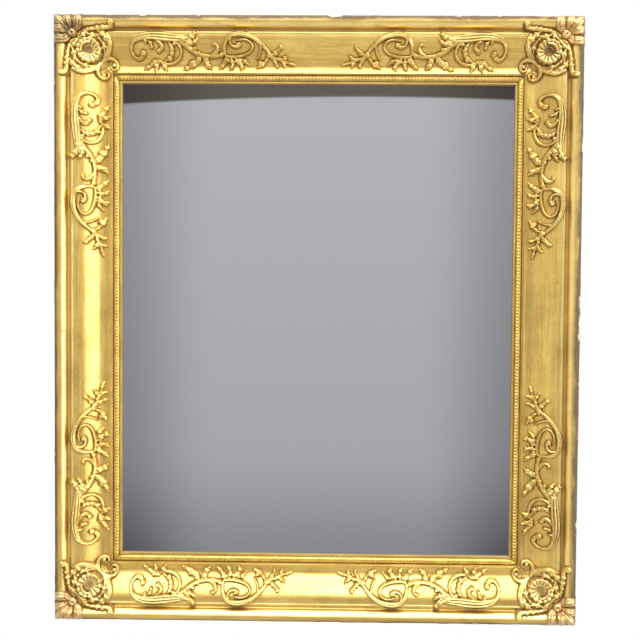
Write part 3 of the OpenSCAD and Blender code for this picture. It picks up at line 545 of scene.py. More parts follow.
class Relief:
    """A height map of cast ornament over a patch of the moulding."""

    def __init__(self, x0, y0, x1, y1, step, at_corner=False):
        self.xs = np.arange(x0, x1 + step / 2, step)
        self.ys = np.arange(y0, y1 + step / 2, step)
        self.step = step
        self.x, self.y = np.meshgrid(self.xs, self.ys)
        self.bed = bed_height(np.minimum(self.x, self.y) if at_corner else self.y)
        self.rise = np.zeros_like(self.x)

    def window(self, x0, y0, x1, y1):
        """The part of the map that holds a box."""
        i0, i1 = np.searchsorted(self.ys, (y0, y1))
        j0, j1 = np.searchsorted(self.xs, (x0, x1))
        return slice(max(i0 - 1, 0), i1 + 1), slice(max(j0 - 1, 0), j1 + 1)

    def lay(self, rows, shape):
        """Lays a band of that shape along rows of (x, y, half width, height)."""
        route = smooth_route(rows)
        last = len(route) - 1
        near, across, along, high = (np.full_like(self.rise, k) for k in (1.0, 1.0, 0.0, 0.0))
        for i in range(last):
            (ax, ay, aw, ah), (bx, by, bw, bh) = route[i], route[i + 1]
            reach = max(aw, bw) * 1.1 + self.step
            spot = self.window(min(ax, bx) - reach, min(ay, by) - reach,
                               max(ax, bx) + reach, max(ay, by) + reach)
            x, y = self.x[spot], self.y[spot]
            dx, dy = bx - ax, by - ay
            length = math.hypot(dx, dy)
            if length < TINY or x.size == 0:
                continue
            share = (((x - ax) * dx + (y - ay) * dy) / length ** 2).clip(0, 1)
            px, py = x - (ax + dx * share), y - (ay + dy * share)
            t = np.hypot(px, py) / np.maximum(aw + (bw - aw) * share, 0.2)
            closer = t < near[spot]
            for layer, values in ((across, t * np.sign(dx * py - dy * px)), (along, (i + share) / last),
                                  (high, ah + (bh - ah) * share), (near, t)):
                layer[spot][closer] = values[closer]
        self.rise = np.maximum(self.rise, high * shape(across, along))

    def leaf(self, rows, lobes):
        """Lays a leaf along rows: lobes that point forwards on both sides of a rib."""
        rows = [(x, y, w * (0.85 if lobes else 1.0), h) for x, y, w, h in rows]
        route = smooth_route(rows)
        for k in range(lobes):
            at = (k + 0.75) / (lobes + 0.75) * (len(route) - 1.001)
            i = int(at)
            x, y, w, h = route[i] + (route[i + 1] - route[i]) * (at - i)
            d = Vector(route[i + 1][:2] - route[i][:2]).normalized()
            for side in (-1, 1):
                out = Vector((-d.y, d.x)) * side
                stations = []
                for ahead, beside, half, high in LOBE:
                    p = Vector((x, y)) + (d * ahead + out * beside) * w
                    stations.append((p.x, p.y, w * half, h * high))
                self.lay(stations, rounded)
        if lobes:
            self.lay([(x, y, max(w * 0.85, 0.8), h * 0.7) for x, y, w, h in rows], rounded)
        slim = 0.5 if lobes else 0.85
        self.lay([(x, y, max(w * slim, 0.8), h * 1.06) for x, y, w, h in rows], leafy)

    def bead(self, x, y, r, h):
        """Lays a berry with a small hole in its top."""
        spot = self.window(x - r, y - r, x + r, y + r)
        d = np.hypot(self.x[spot] - x, self.y[spot] - y) / r
        dome = h * (1 - d * d).clip(0) ** 0.5 * (1 - 0.35 * bell(d, 0, 0.22))
        self.rise[spot] = np.maximum(self.rise[spot], dome)

    def settle(self):
        """Softens the cast and keeps what the finishes read."""
        self.rise = blurred(self.rise, 0.36 / self.step)
        wide = blurred(self.rise, 1.4 / self.step)
        # hollow: where soiling and painted shade darken the cast; top: its height, where it is burnished
        # and painted paler; foot: soiling and painted shade on the rail round it
        self.hollow = ((wide - self.rise - 0.1) / 0.9).clip(0, 1)
        self.hollow = np.maximum(self.hollow, (1 - self.rise / 1.2).clip(0, 1) * 0.6)
        self.top = (self.rise / 6.0).clip(0, 1)
        self.foot = (blurred((self.rise > 0.4).astype(float), 1.2 / self.step) * 1.7).clip(0, 1)

    def foot_at(self, x, y):
        """How much soiling and painted shade lie round the cast at points of the rail."""
        j = ((x - self.xs[0]) / self.step).round().astype(int)
        i = ((y - self.ys[0]) / self.step).round().astype(int)
        inside = (i >= 0) & (i < len(self.ys)) & (j >= 0) & (j < len(self.xs))
        return np.where(inside, self.foot[i.clip(0, len(self.ys) - 1), j.clip(0, len(self.xs) - 1)], 0)

    def put(self, node, way, floor, finish):
        """Makes the cast's closed piece at one place, its underside at the height floor in the wood."""
        near = blurred((self.rise > 0.05).astype(float), 0.5 / self.step) > 0.02
        cell = near[:-1, :-1] | near[1:, :-1] | near[:-1, 1:] | near[1:, 1:]
        for _ in range(4):
            # two cells that would touch at a corner alone get a third between them
            cell[1:, :-1] |= cell[:-1, :-1] & cell[1:, 1:] & ~cell[:-1, 1:]
            cell[1:, 1:] |= cell[:-1, 1:] & cell[1:, :-1] & ~cell[:-1, :-1]
        grid = np.arange(self.x.size).reshape(self.x.shape)
        a, b, c, d = grid[:-1, :-1], grid[:-1, 1:], grid[1:, 1:], grid[1:, :-1]
        wide = np.pad(cell, 1)
        used = np.unique(np.concatenate([k[cell] for k in (a, b, c, d)]))
        order = np.zeros(self.x.size, int)
        order[used] = np.arange(len(used))
        low = len(used)
        quads = order[np.stack([a, b, c, d], -1)[cell]]
        faces = [quads, quads[:, ::-1] + low]
        for start, end, beyond in ((a, b, wide[:-2, 1:-1]), (b, c, wide[1:-1, 2:]),
                                   (c, d, wide[2:, 1:-1]), (d, a, wide[1:-1, :-2])):
            edge = cell & ~beyond
            p, q = order[start[edge]], order[end[edge]]
            faces.append(np.column_stack([q, p, p + low, q + low]))
        lift = (self.rise / 0.8).clip(0, 1)
        front = self.bed - SUNK + (SUNK + 0.35) * lift + self.rise
        top_points = np.column_stack([k.ravel()[used] for k in (self.x, self.y, front)])
        low_points = top_points * (1, 1, 0) + (0, 0, floor)
        points = place(np.vstack([top_points, low_points]), way)
        obj = new_object(node + "_gilt", points, np.vstack(faces).tolist(), not is_turned(way))
        for layer, field in (("hollow", self.hollow), ("top", self.top)):
            values = field.ravel()[used]
            put_layer(obj, layer, np.concatenate([values, values * 0]))
        finish_piece(obj, ROOT, node, finish)


# The scroll. Its rows are thousandths of its length and of its bed's width, a half width and a height.
SCROLL_S, SCROLL_LEN = 96.0, 224.0
SCROLL_U, SCROLL_W = 20.0, 52.5
THOUSAND = 1000
BIG_SCROLL = [
    (90, 545, 2.6, 4), (82, 635, 3, 4.4), (56, 675, 2.6, 4.8), (34, 600, 2.3, 5.2),
    (26, 480, 2.2, 5.6), (34, 350, 2.6, 6), (54, 250, 3.4, 6.4), (84, 185, 4.4, 6.8),
    (124, 155, 5.2, 7), (170, 155, 5.8, 7), (215, 175, 6.2, 6.9), (260, 200, 6, 6.6),
    (305, 220, 5.2, 6.2), (345, 240, 4.2, 5.8), (375, 275, 2.8, 5.2)]
SECOND_SCROLL = [
    (577, 550, 1.9, 3.6), (577, 420, 2.3, 4.8), (587, 300, 2.8, 5.8), (604, 190, 3.3, 6.4),
    (635, 120, 3.7, 6.7), (674, 105, 3.8, 6.7), (713, 135, 3.6, 6.5), (747, 195, 3.2, 6.2),
    (777, 280, 3, 5.8), (803, 375, 2.7, 5.3), (826, 475, 2.4, 4.9), (842, 560, 2.2, 4.6)]
INNER_LOOP = [
    (650, 265, 1, 4.2), (690, 235, 1.5, 5), (725, 285, 1.7, 5.2), (742, 375, 1.7, 5.2),
    (738, 465, 1.7, 5), (712, 550, 1.7, 4.8), (665, 605, 1.8, 4.4), (615, 620, 1.8, 3.8),
    (580, 600, 1.5, 3.4)]
VOLUTE = [
    (617, 200, 1.2, 4.4), (610, 300, 1.8, 5.2), (622, 385, 2.1, 5.2), (650, 410, 2.1, 5),
    (672, 370, 1.8, 4.8), (664, 315, 1.3, 4.2)]
RETURN_ARC = [
    (285, 270, 2.2, 5), (310, 380, 2, 5.3), (320, 520, 2, 5.1), (306, 660, 2.1, 4.8),
    (272, 755, 2.1, 4.3), (234, 785, 1.9, 3.8), (200, 750, 1.6, 3.2), (175, 710, 1.3, 2.6)]
OUTER_ARC = [
    (790, 330, 1.5, 4.2), (790, 450, 1.8, 4.6), (781, 570, 1.7, 4.2), (765, 660, 1.4, 3.4)]
STEM = [
    (318, 300, 2.8, 4.8), (350, 400, 3, 4.6), (385, 505, 3, 4.4), (430, 580, 2.8, 4.2),
    (480, 610, 2.6, 4), (530, 605, 2.6, 4), (570, 550, 2.2, 3.8)]
TAIL = [
    (828, 590, 2.2, 4.8), (856, 620, 2, 4.4), (890, 670, 1.9, 4), (930, 730, 1.8, 3.6),
    (965, 765, 1.5, 3), (990, 765, 0.8, 1.8)]
# Leaves: their rows, and how many lobes stand on each side
SCROLL_LEAVES = [
    ([(100, 200, 1.6, 4), (112, 270, 2.6, 4.8), (116, 340, 1.6, 3.4)], 0),
    ([(128, 270, 1.8, 4.2), (144, 330, 3.4, 5.2), (148, 410, 2.2, 4)], 1),
    ([(180, 280, 2.4, 5.4), (200, 340, 3.4, 6), (208, 430, 3.4, 5.6), (186, 500, 2.6, 4.6)], 0),
    ([(250, 330, 2.4, 5.2), (264, 410, 4, 6), (266, 520, 4.2, 5.6), (250, 640, 3.8, 5),
      (215, 720, 2.4, 3.6)], 4),
    ([(190, 700, 2.4, 3.6), (150, 755, 4.8, 5), (112, 865, 3.8, 4), (92, 930, 1.6, 2.4)], 2),
    ([(182, 730, 2.2, 3.4), (166, 850, 4.4, 5), (158, 955, 2.4, 3.2)], 1),
    ([(192, 730, 2.2, 3.4), (213, 850, 4.4, 5), (226, 945, 2.2, 3)], 1),
    ([(300, 270, 2.6, 5.2), (345, 235, 4.8, 6.2), (385, 165, 5, 6.2), (404, 90, 3.6, 5),
      (398, 40, 1.6, 3.2)], 3),
    ([(330, 300, 2.4, 4.8), (368, 335, 4.2, 5.8), (404, 290, 3.2, 5), (420, 220, 1.6, 3)], 2),
    ([(335, 370, 2.2, 4.2), (370, 450, 3.8, 5.2), (405, 440, 2.6, 4.2)], 1),
    ([(436, 590, 2.6, 3.8), (415, 700, 5.4, 5), (378, 795, 6, 5.2), (345, 880, 3.8, 4),
      (328, 925, 1.6, 2.4)], 3),
    ([(445, 610, 2.4, 3.8), (463, 720, 5.2, 5), (474, 825, 4.6, 4.6),
      (494, 905, 2, 2.8)], 2),
    ([(490, 600, 1.8, 3.8), (523, 530, 3.2, 4.8), (537, 430, 3, 4.8), (524, 345, 2.2, 4),
      (507, 365, 1.6, 3.2)], 0),
    ([(590, 610, 2.4, 3.8), (577, 720, 4.6, 5), (556, 835, 3.8, 4.2),
      (538, 905, 1.6, 2.4)], 2),
    ([(610, 630, 2.2, 3.6), (618, 750, 4, 4.8), (613, 865, 3.4, 4.2), (600, 930, 1.4, 2.2)], 2),
    ([(636, 650, 2.4, 3.6), (662, 750, 4.6, 5), (676, 855, 3.8, 4.2),
      (668, 935, 1.6, 2.4)], 2),
    ([(655, 660, 1.8, 3.2), (694, 715, 3.6, 4.6), (717, 810, 2.2, 3.2)], 1),
    ([(834, 600, 2, 4.2), (820, 700, 3.2, 5), (795, 790, 4.4, 5.6), (765, 860, 3, 4.4)], 2),
    ([(846, 600, 2, 4), (872, 555, 3.8, 5), (897, 470, 3.8, 4.8), (914, 400, 2.2, 3.4),
      (906, 355, 1.2, 2.4)], 2),
    ([(850, 640, 1.8, 3.6), (872, 720, 3.6, 4.6), (886, 820, 2.6, 3.8),
      (884, 885, 1.2, 2.2)], 2),
    ([(885, 670, 1.8, 3.8), (918, 665, 3.4, 4.6), (944, 600, 2.4, 3.6), (950, 550, 1, 2)], 1),
    ([(905, 710, 1.8, 3.6), (926, 790, 3.2, 4.4), (930, 875, 1.6, 2.8)], 1),
    ([(935, 740, 1.6, 3.4), (965, 770, 2.8, 4), (992, 815, 1.2, 2.4)], 1),
]
# Berries and eyes: place, radius and height
SCROLL_BEADS = [
    (94, 555, 4.2, 5.8), (186, 500, 3.2, 5.6), (148, 420, 2.6, 5), (283, 345, 2.8, 6),
    (250, 680, 3.2, 5.4), (170, 720, 2.6, 4.8), (353, 370, 2.8, 5.8), (400, 450, 2.4, 5.2),
    (380, 360, 2.2, 5.4), (425, 545, 2.4, 5.2), (448, 600, 2.8, 4.8), (474, 620, 2.2, 4.6),
    (500, 620, 2.4, 4.6), (527, 610, 2.2, 4.6), (556, 585, 3.2, 5.2), (520, 350, 2.4, 4.6),
    (378, 800, 3, 5.6), (466, 800, 2.8, 5.2), (596, 700, 2.6, 5), (640, 720, 2.6, 5),
    (614, 840, 2.4, 4.6), (560, 820, 2.4, 4.4), (655, 355, 2.4, 5), (842, 585, 3.8, 6.2),
    (786, 760, 3.8, 6), (892, 660, 2.6, 5), (906, 410, 2.6, 4.8), (884, 830, 2.4, 4.4)]


def at_scroll(rows):
    """The scroll's rows in millimetres."""
    return [(SCROLL_S + SCROLL_LEN * (x / THOUSAND), SCROLL_U + SCROLL_W * (y / THOUSAND), *sizes)
            for x, y, *sizes in rows]


def scroll_relief():
    relief = Relief(SCROLL_S - 3, FILLET_U - 3.6, SCROLL_S + SCROLL_LEN + 3, QUIRK_U + 0.6, 0.5)
    for rows in (BIG_SCROLL, SECOND_SCROLL):
        relief.lay(at_scroll(rows), plumed)
    for rows in (INNER_LOOP, RETURN_ARC):
        relief.lay(at_scroll(rows), rolled)
    for rows in (VOLUTE, OUTER_ARC, STEM, TAIL):
        relief.lay(at_scroll(rows), rounded)
    for rows, lobes in SCROLL_LEAVES:
        relief.leaf(at_scroll(rows), lobes)
    for x, y, r, h in at_scroll(SCROLL_BEADS):
        relief.bead(x, y, r, h)
    relief.settle()
    return relief


# The corner's casts, in millimetres from the outer corner. Each band is laid again mirrored on the mitre.
SHELL_AT, SHELL_R = 46.5, 17.0
CARTOUCHE_GROUND = [
    (38, 29, 8, 1.6), (48, 27, 9, 1.8), (58, 27, 10, 2), (66, 34, 9, 2.2), (67.5, 46, 8, 2.2),
    (60, 60, 8, 2.2)]
CARTOUCHE_FIELD = [
    (69, 31, 4.2, 3), (71, 39, 5, 3.8), (70, 47, 5.2, 4.2), (65, 54, 5, 4.4), (60, 60, 5, 4.6)]
CARTOUCHE_ARC = [
    (25, 71, 1.8, 4.2), (31, 73.5, 2.6, 5.2), (39, 74.5, 3.2, 6), (47, 71.5, 3.4, 6.6),
    (53.5, 66.5, 3.2, 7), (59, 60.5, 2.9, 7), (65, 56.5, 2.6, 6.6), (72, 55.2, 2.5, 6),
    (78, 57.5, 2.4, 5.6), (81, 62.5, 2.2, 5.2), (79.5, 68.3, 2, 5), (74.4, 69, 1.8, 4.6),
    (72.6, 64.8, 1.4, 4.2)]
CARTOUCHE_STRIP = [
    (40, 22, 1.8, 4.4), (47, 20.5, 2, 5), (56, 19.5, 2.2, 5.2), (65, 19, 2.2, 5.2), (72, 18, 2.4, 5.2),
    (77, 15.5, 2.4, 5), (78.5, 11, 2, 4.4), (75.5, 9.4, 1.6, 3.6)]
CARTOUCHE_LEAVES = [
    ([(42, 24, 2.6, 4.8), (48.5, 27, 5, 6), (56, 28, 4.8, 5.8), (62, 26.5, 2.4, 4.2)], 1),
    ([(59, 22, 2.4, 4.6), (65, 26, 5.2, 6), (70, 32, 5, 5.8), (72.5, 40, 2.6, 4.4)], 2),
    ([(62, 33, 2.4, 5.4), (66, 40, 4.6, 6.2), (66, 47.5, 4, 6), (63, 53, 2.2, 5)], 1),
    ([(31, 38, 2.4, 4.6), (35, 41.5, 3.8, 5.8), (35.5, 48, 3, 5.2)], 1),
    ([(34, 33, 2.8, 5.6), (38.5, 29, 4.4, 6.6), (42.5, 24.5, 3.8, 6), (45.5, 20, 2.2, 4.6)], 1),
    ([(45, 20.5, 2.4, 4.8), (54, 19.3, 3.6, 5.8), (63, 18.5, 3.8, 6), (71, 17.5, 3, 5.2)], 3)]
CARTOUCHE_BEADS = [
    (76.6, 63.2, 3.2, 6.4), (74.8, 13, 2.6, 5), (60.5, 31.5, 2.4, 5.8)]
COLLAR = [
    (20, 45.5, 1.8, 4.4), (24.5, 41, 2.4, 5.2), (29.5, 37.5, 2.6, 5.8), (33.5, 33.5, 2.8, 6),
    (37.5, 29.5, 2.6, 5.8), (41, 24.5, 2.4, 5.2), (45.5, 20, 1.8, 4.4)]
PALMETTE = [
    [(28, 21, 3.6, 4.2), (32.6, 15.5, 5.8, 5.8), (33.8, 9, 5.9, 5.4), (33, 4, 4.6, 4)],
    [(22.5, 18, 3.4, 4.2), (21, 12, 5.2, 5.8), (19.6, 7, 5.4, 5.2), (18.8, 3.6, 4.4, 4)]]
PALMETTE_MIDDLE = [(18.5, 18.5, 3.4, 4.2), (13, 13, 5.2, 5.8), (8, 8, 5.6, 5.2), (4.8, 4.8, 4.4, 3.8)]
PALMETTE_KNOB = (25, 25, 6.6, 8.2)
# The folds at the shell's hinge: place, half width
SHELL_FOLDS = [
    [(37, 49, 1.4), (38.5, 42.5, 2.6), (42.5, 38.5, 2.6), (49, 37, 1.4)],
    [(42, 47.5, 1.2), (43.5, 44.5, 2), (44.5, 43.5, 2), (47.5, 42, 1.2)]]
FOLD_BOX = (30, 30, 62, 62)
FOLD_RISE = 6.2


def mirrored(rows):
    """Rows turned over the mitre."""
    return [(r[1], r[0], *r[2:]) for r in rows]


def lay_shell(relief):
    """A hollow shell with rays round its rim, tilted to follow the valley of the mitre."""
    x, y = relief.x - SHELL_AT, relief.y - SHELL_AT
    far, turn = np.hypot(x, y), np.arctan2(y, x)
    level = 48.2 - 0.3 * (x + y) / math.sqrt(2)
    rays = np.abs(np.cos((turn - math.pi / 4) * 7))
    edge = SHELL_R * (0.93 + 0.07 * rays)
    bowl = 1.2 + 4.6 * ((far - 3.0) / 10.5).clip(0, 1) ** 1.2
    rim = (1 - ((far - edge + 2.6) / 2.6).clip(0, 1) ** 2).clip(0) ** 0.5
    cuts = 1.9 * (1 - rays) ** 1.5 * ((far - 5.0) / 4.0).clip(0, 1)
    rise = np.where(far < edge, (level + (bowl - cuts) * rim - relief.bed).clip(0.6), 0)
    relief.rise = np.maximum(relief.rise, rise)
    for rows in SHELL_FOLDS:
        # the folds stand on the valley, not on the bed
        fold = Relief(*FOLD_BOX, relief.step, True)
        fold.lay([(px, py, w, 1.0) for px, py, w in rows], rounded)
        spot, (high, wide) = relief.window(*FOLD_BOX), fold.x.shape
        inside, base, bed = [k[spot][:high, :wide] for k in (relief.rise, level, relief.bed)]
        rise = np.where(fold.rise > 0, base + FOLD_RISE * fold.rise - bed, 0)
        np.copyto(inside, np.maximum(inside, rise))


def cartouche_relief():
    relief = Relief(8.0, 8.0, 91.0, 91.0, 0.5, True)
    lay_shell(relief)
    for turn in (list, mirrored):
        for rows in (CARTOUCHE_GROUND, CARTOUCHE_FIELD):
            relief.lay(turn(rows), dished)
        for rows in (CARTOUCHE_ARC, CARTOUCHE_STRIP):
            relief.lay(turn(rows), rolled)
        for rows, lobes in CARTOUCHE_LEAVES:
            relief.leaf(turn(rows), lobes)
        for x, y, r, h in turn(CARTOUCHE_BEADS):
            relief.bead(x, y, r, h)
    relief.lay(COLLAR, rolled)
    # nothing of the cast lies on the sight moulding
    relief.rise *= np.where(np.minimum(relief.x, relief.y) > QUIRK_U + 1.5, 0, 1)
    relief.settle()
    # the shell's bowl is darkened too, by soiling and painted shade
    far = np.hypot(relief.x - SHELL_AT, relief.y - SHELL_AT)
    relief.hollow = np.maximum(relief.hollow, 0.6 * (1 - ((far - 4.0) / 4.5).clip(0, 1)))
    return relief


def palmette_relief():
    relief = Relief(-1.2, -1.2, 39.2, 39.2, 0.4, True)
    for turn in (list, mirrored):
        for rows in PALMETTE:
            relief.lay(turn(rows), ribbed)
    relief.lay(PALMETTE_MIDDLE, ribbed)
    relief.bead(*PALMETTE_KNOB)
    relief.settle()
    return relief


scroll = scroll_relief()
cartouche = cartouche_relief()
palmette = palmette_relief()

# How each corner and each side rail's half lies, with the finishes of its casts
CORNERS = {
    "top_left": ((0, 1, 0), pale_cast, worn_cast, dusty_shaded_palmette),
    "top_right": ((1, 1, 0), pale_cast, grimy_shaded_cast, dusty_palmette),
    "bottom_left": ((0, 0, 0), soft_cast, soft_cast, dusty_palmette),
    "bottom_right": ((1, 0, 0), soft_cast, soft_cast, dusty_palmette)}
SIDE_SCROLLS = {
    "left_upper": ((0, 1, 1), clean_cast), "left_lower": ((0, 0, 1), clean_cast),
    "right_upper": ((1, 1, 1), grimy_shaded_cast), "right_lower": ((1, 0, 1), grimy_shaded_cast)}
CAST_FLOOR, PALMETTE_FLOOR = 22.0, 34.0
for corner, (way, scroll_finish, cartouche_finish, palmette_finish) in CORNERS.items():
    scroll.put("scroll_" + corner, way, CAST_FLOOR, scroll_finish)
    cartouche.put("cartouche_" + corner, way, CAST_FLOOR, cartouche_finish)
    palmette.put("palmette_" + corner, way, PALMETTE_FLOOR, palmette_finish)
for side, (way, finish) in SIDE_SCROLLS.items():
    scroll.put("scroll_" + side, way, CAST_FLOOR, finish)

# ---------------- rails
SIDES = {"top": (0, 1, 0), "bottom": (0, 0, 0), "left": (0, 0, 1), "right": (1, 0, 1)}
# Where the gesso is broken off the outer edge: how far from the rail's left or lower end, and the reach
CHIPS = {
    "top": [(372, 14), (645, 18), (665, 10), (120, 8)],
    "bottom": [(30, 12), (400, 16), (560, 10), (668, 14)],
    "left": [(745, 10), (715, 12), (440, 12), (220, 8)],
    "right": [(395, 30), (430, 14), (130, 12), (640, 16)]}
CHIP_H, CHIP_SPREAD, CHIP_W = 51, 6, 8
SMALL_KNOCKS = 9
KNOCK_DEPTH = 0.7
MITRE_SHRINK = 0.12
STATION_GAP = 3
# where the painted highlight lies across a rail: the rim's nose and the fillet's shoulder
NOSE_SHINE_U, SHOULDER_SHINE_U = 13.6, 24.2


def rail_piece(side, seed, edge_w, dirt_and_shade):
    """A rail, with its outer edge rubbed bare for edge_w, and painted shade of that strength in its
    grooves and on its lip.
    """
    way, node = SIDES[side], "rail_" + side
    length, material = (OUTER_H, gilt_upright) if way[2] else (OUTER_W, gilt_across)
    stations = int(length / STATION_GAP)
    s, u, v, faces = swept(RAIL_OUTLINE, length, stations)

    def wander(cell, nth):
        return soft_noise(*s.shape, cell, seed + nth)

    # gesso is laid by hand: it waves a little, and its outer edge is knocked
    tangent = np.roll(RAIL_OUTLINE, -1, 0) - np.roll(RAIL_OUTLINE, 1, 0)
    normal = np.column_stack([-tangent[:, 1], tangent[:, 0]]) / np.hypot(*tangent.T)[:, None]
    front = ((RAIL_OUTLINE[:, 1] - REBATE_T - 1) / 6).clip(0, 1)
    knock = np.zeros_like(s)
    rng = np.random.default_rng(seed + 2)
    marks = [(at, reach, 1.0) for at, reach in CHIPS[side]]
    for _ in range(SMALL_KNOCKS):
        marks.append((rng.uniform(20, length - 20), rng.uniform(3, 8), rng.uniform(0.5, 0.9)))
    rough = wander(3, 3)
    for at, reach, depth in marks:
        spot = np.exp(-((s - at) / reach) ** 4) * bell(v, CHIP_H, CHIP_SPREAD) * (u < CHIP_W)
        knock = np.maximum(knock, depth * spot * (0.75 + 0.5 * rough))
    push = (0.1 * wander(14, 0) + 0.05 * wander(5, 1)) * front - KNOCK_DEPTH * knock.clip(0, 1)
    push[[0, -1]] = -MITRE_SHRINK * front
    u, v = u - push * normal[:, 0], v - push * normal[:, 1]
    points = np.column_stack([s.ravel(), u.ravel(), v.ravel()])
    obj = new_object(node + "_gilt", place(points, way), faces, not is_turned(way))

    # dirt and painted shade: painted shade in the grooves and along the lip, more on the rails that face
    # away from the light; dirt and painted shade on the strip's bed, round the casts' feet and on the
    # outer flank
    groove = bell(u, GROOVE_U + GROOVE_W / 2, 2.6) * (v < FILLET_H) * 1.1
    quirk = bell(u, QUIRK_U + QUIRK_W / 2, 1.6) * (v < HOLLOW_H + 1.5)
    bed = (u > STRIP_U) * (u < LIP_U) * (v < BED_H + 1)
    foot = np.maximum.reduce([relief.foot_at(k, u) for relief in (scroll, cartouche, palmette)
                              for k in (s, length - s)])
    flank = ((10.5 - u) / 6).clip(0, 1) * (0.6 + 0.4 * wander(12, 6))
    lip = (u > LIP_U) * dirt_and_shade * 0.8
    grime_and_shade = np.maximum.reduce([groove * dirt_and_shade, quirk * dirt_and_shade, bed * 0.4, foot * 0.55, flank * 0.8, lip])
    # bare wood shows at the rubbed edge, low on the outer side and on the back
    ragged = 1 + 0.45 * wander(9, 4) + 0.25 * wander(3, 5)
    edge = ((1.25 - u / edge_w) * ragged * 1.6).clip(0, 1)
    low = (1 - (v - 32) / 12).clip(0, 1) * (u < 3)
    put_layer(obj, "grime_and_shade", grime_and_shade.clip(0, 1))
    put_layer(obj, "chip", knock.clip(0, 1))
    # painted highlight, partly real burnish, on the rim's nose and the fillet's shoulder
    put_layer(obj, "burnish_and_highlight", bell(u, NOSE_SHINE_U, 2.6) + 0.8 * bell(u, SHOULDER_SHINE_U, 1.9))
    put_layer(obj, "bare", np.maximum(np.maximum(low, edge) * 0.95, v < REBATE_T + 0.6).clip(0, 1))
    finish_piece(obj, ROOT, node, material, angle=50)


# each rail's seed, bare edge, and painted shade in its grooves and on its lip: most on the top and right
# rails, which face away from the light
for side, seed, edge_w, dirt_and_shade in (("top", 11, 8.0, 0.8), ("bottom", 12, 3.4, 0.05),
                                 ("left", 13, 6.0, 0.0), ("right", 14, 9.5, 0.7)):
    rail_piece(side, seed, edge_w, dirt_and_shade)


# ---------------- sight mouldings
# Half sizes of a leaf tip and of the dart between two, and how they stand on the strip
LEAF_PITCH = 4.4
LEAF_SIZE, DART_SIZE = Vector((1.75, 3.1, 1.75)), Vector((0.9, 1.4, 1.2))
LEAF_LEAN = math.radians(-24)
LEAF_SHIFT, LEAF_RISE = 0.3, 2.9
DART_SHIFT, DART_DROP = 2.4, 0.2
# The bed's round lies this far below the moulding's height and inside the strip's edges
BED_DROP, BED_INSET, BED_EDGE = 1.6, 0.3, 0.2


def leaf_tip_tree():
    """Repeats a leaf tip and a dart along X over the moulding that it is given."""
    tree = bpy.data.node_groups.new("leaf_tips", "GeometryNodeTree")
    kinds = {"Moulding": "Geometry", "Count": "Int", "Step": "Vector", "Leaves": "Vector",
             "Darts": "Vector", "Finish": "Material"}
    for name, kind in kinds.items():
        tree.interface.new_socket(name, in_out="INPUT", socket_type="NodeSocket" + kind)
    tree.interface.new_socket("Moulding", in_out="OUTPUT", socket_type="NodeSocketGeometry")
    b = Board(tree)
    given = tree.nodes.new("NodeGroupInput")
    value = {socket.name: Flow(b, socket) for socket in given.outputs if socket.name}
    join = tree.nodes.new("GeometryNodeJoinGeometry")
    for start, size, rings in (("Darts", DART_SIZE, 5), ("Leaves", LEAF_SIZE, 7)):
        ball = b.add("GeometryNodeMeshUVSphere", {"Segments": 10, "Rings": rings, "Radius": MM})
        turned = {"Geometry": ball, "Scale": size, "Rotation": (0, 0, LEAF_LEAN)}
        tip = b.add("GeometryNodeTransform", turned)
        places = {"Count": value["Count"], "Start Location": value[start], "Offset": value["Step"]}
        line = b.add("GeometryNodeMeshLine", places, {"mode": "OFFSET"})
        row = b.add("GeometryNodeInstanceOnPoints", {"Points": line, "Instance": tip})
        tree.links.new(row.socket, join.inputs[0])
    tree.links.new(value["Moulding"].socket, join.inputs[0])
    real = b.add("GeometryNodeRealizeInstances", {"Geometry": Flow(b, join.outputs[0])})
    done = b.add("GeometryNodeSetMaterial", {"Geometry": real, "Material": value["Finish"]})
    out = tree.nodes.new("NodeGroupOutput")
    tree.links.new(done.socket, out.inputs[0])
    return tree


def sight_material():
    """Gold leaf darkened between the leaf tips by soiling and painted shade. height is 0 on the bed and 1
    on the tips.
    """
    material, b = new_material("sight_gilding")
    here = b.place()
    cloud = b.noise(here, 16.0, 4.0)
    fine = b.noise(here, 1.4, 4.0, 0.65)
    height = b.layer("height")
    # soiling and painted shade between the leaf tips
    dirt_and_shade = (1 - height.between(0.3, 0.8)) * (0.3 + fine * 0.4)
    gold = b.mix(cloud.between(0.3, 0.7), DEEP_GOLD, GOLD)
    gold = b.mix(fine.between(0.4, 0.7) * 0.6, gold, PALE_GOLD)
    gold = b.mix(dirt_and_shade * 0.8, gold, GRIME_AND_SHADE)
    shade(b, Base_Color=gold, Metallic=1 - dirt_and_shade * 0.7, Roughness=0.3 + dirt_and_shade * 0.3 + fine * 0.08,
          Normal=b.bump(fine + cloud, 0.06))
    return material


leaf_tips = leaf_tip_tree()
sight_gilding = sight_material()


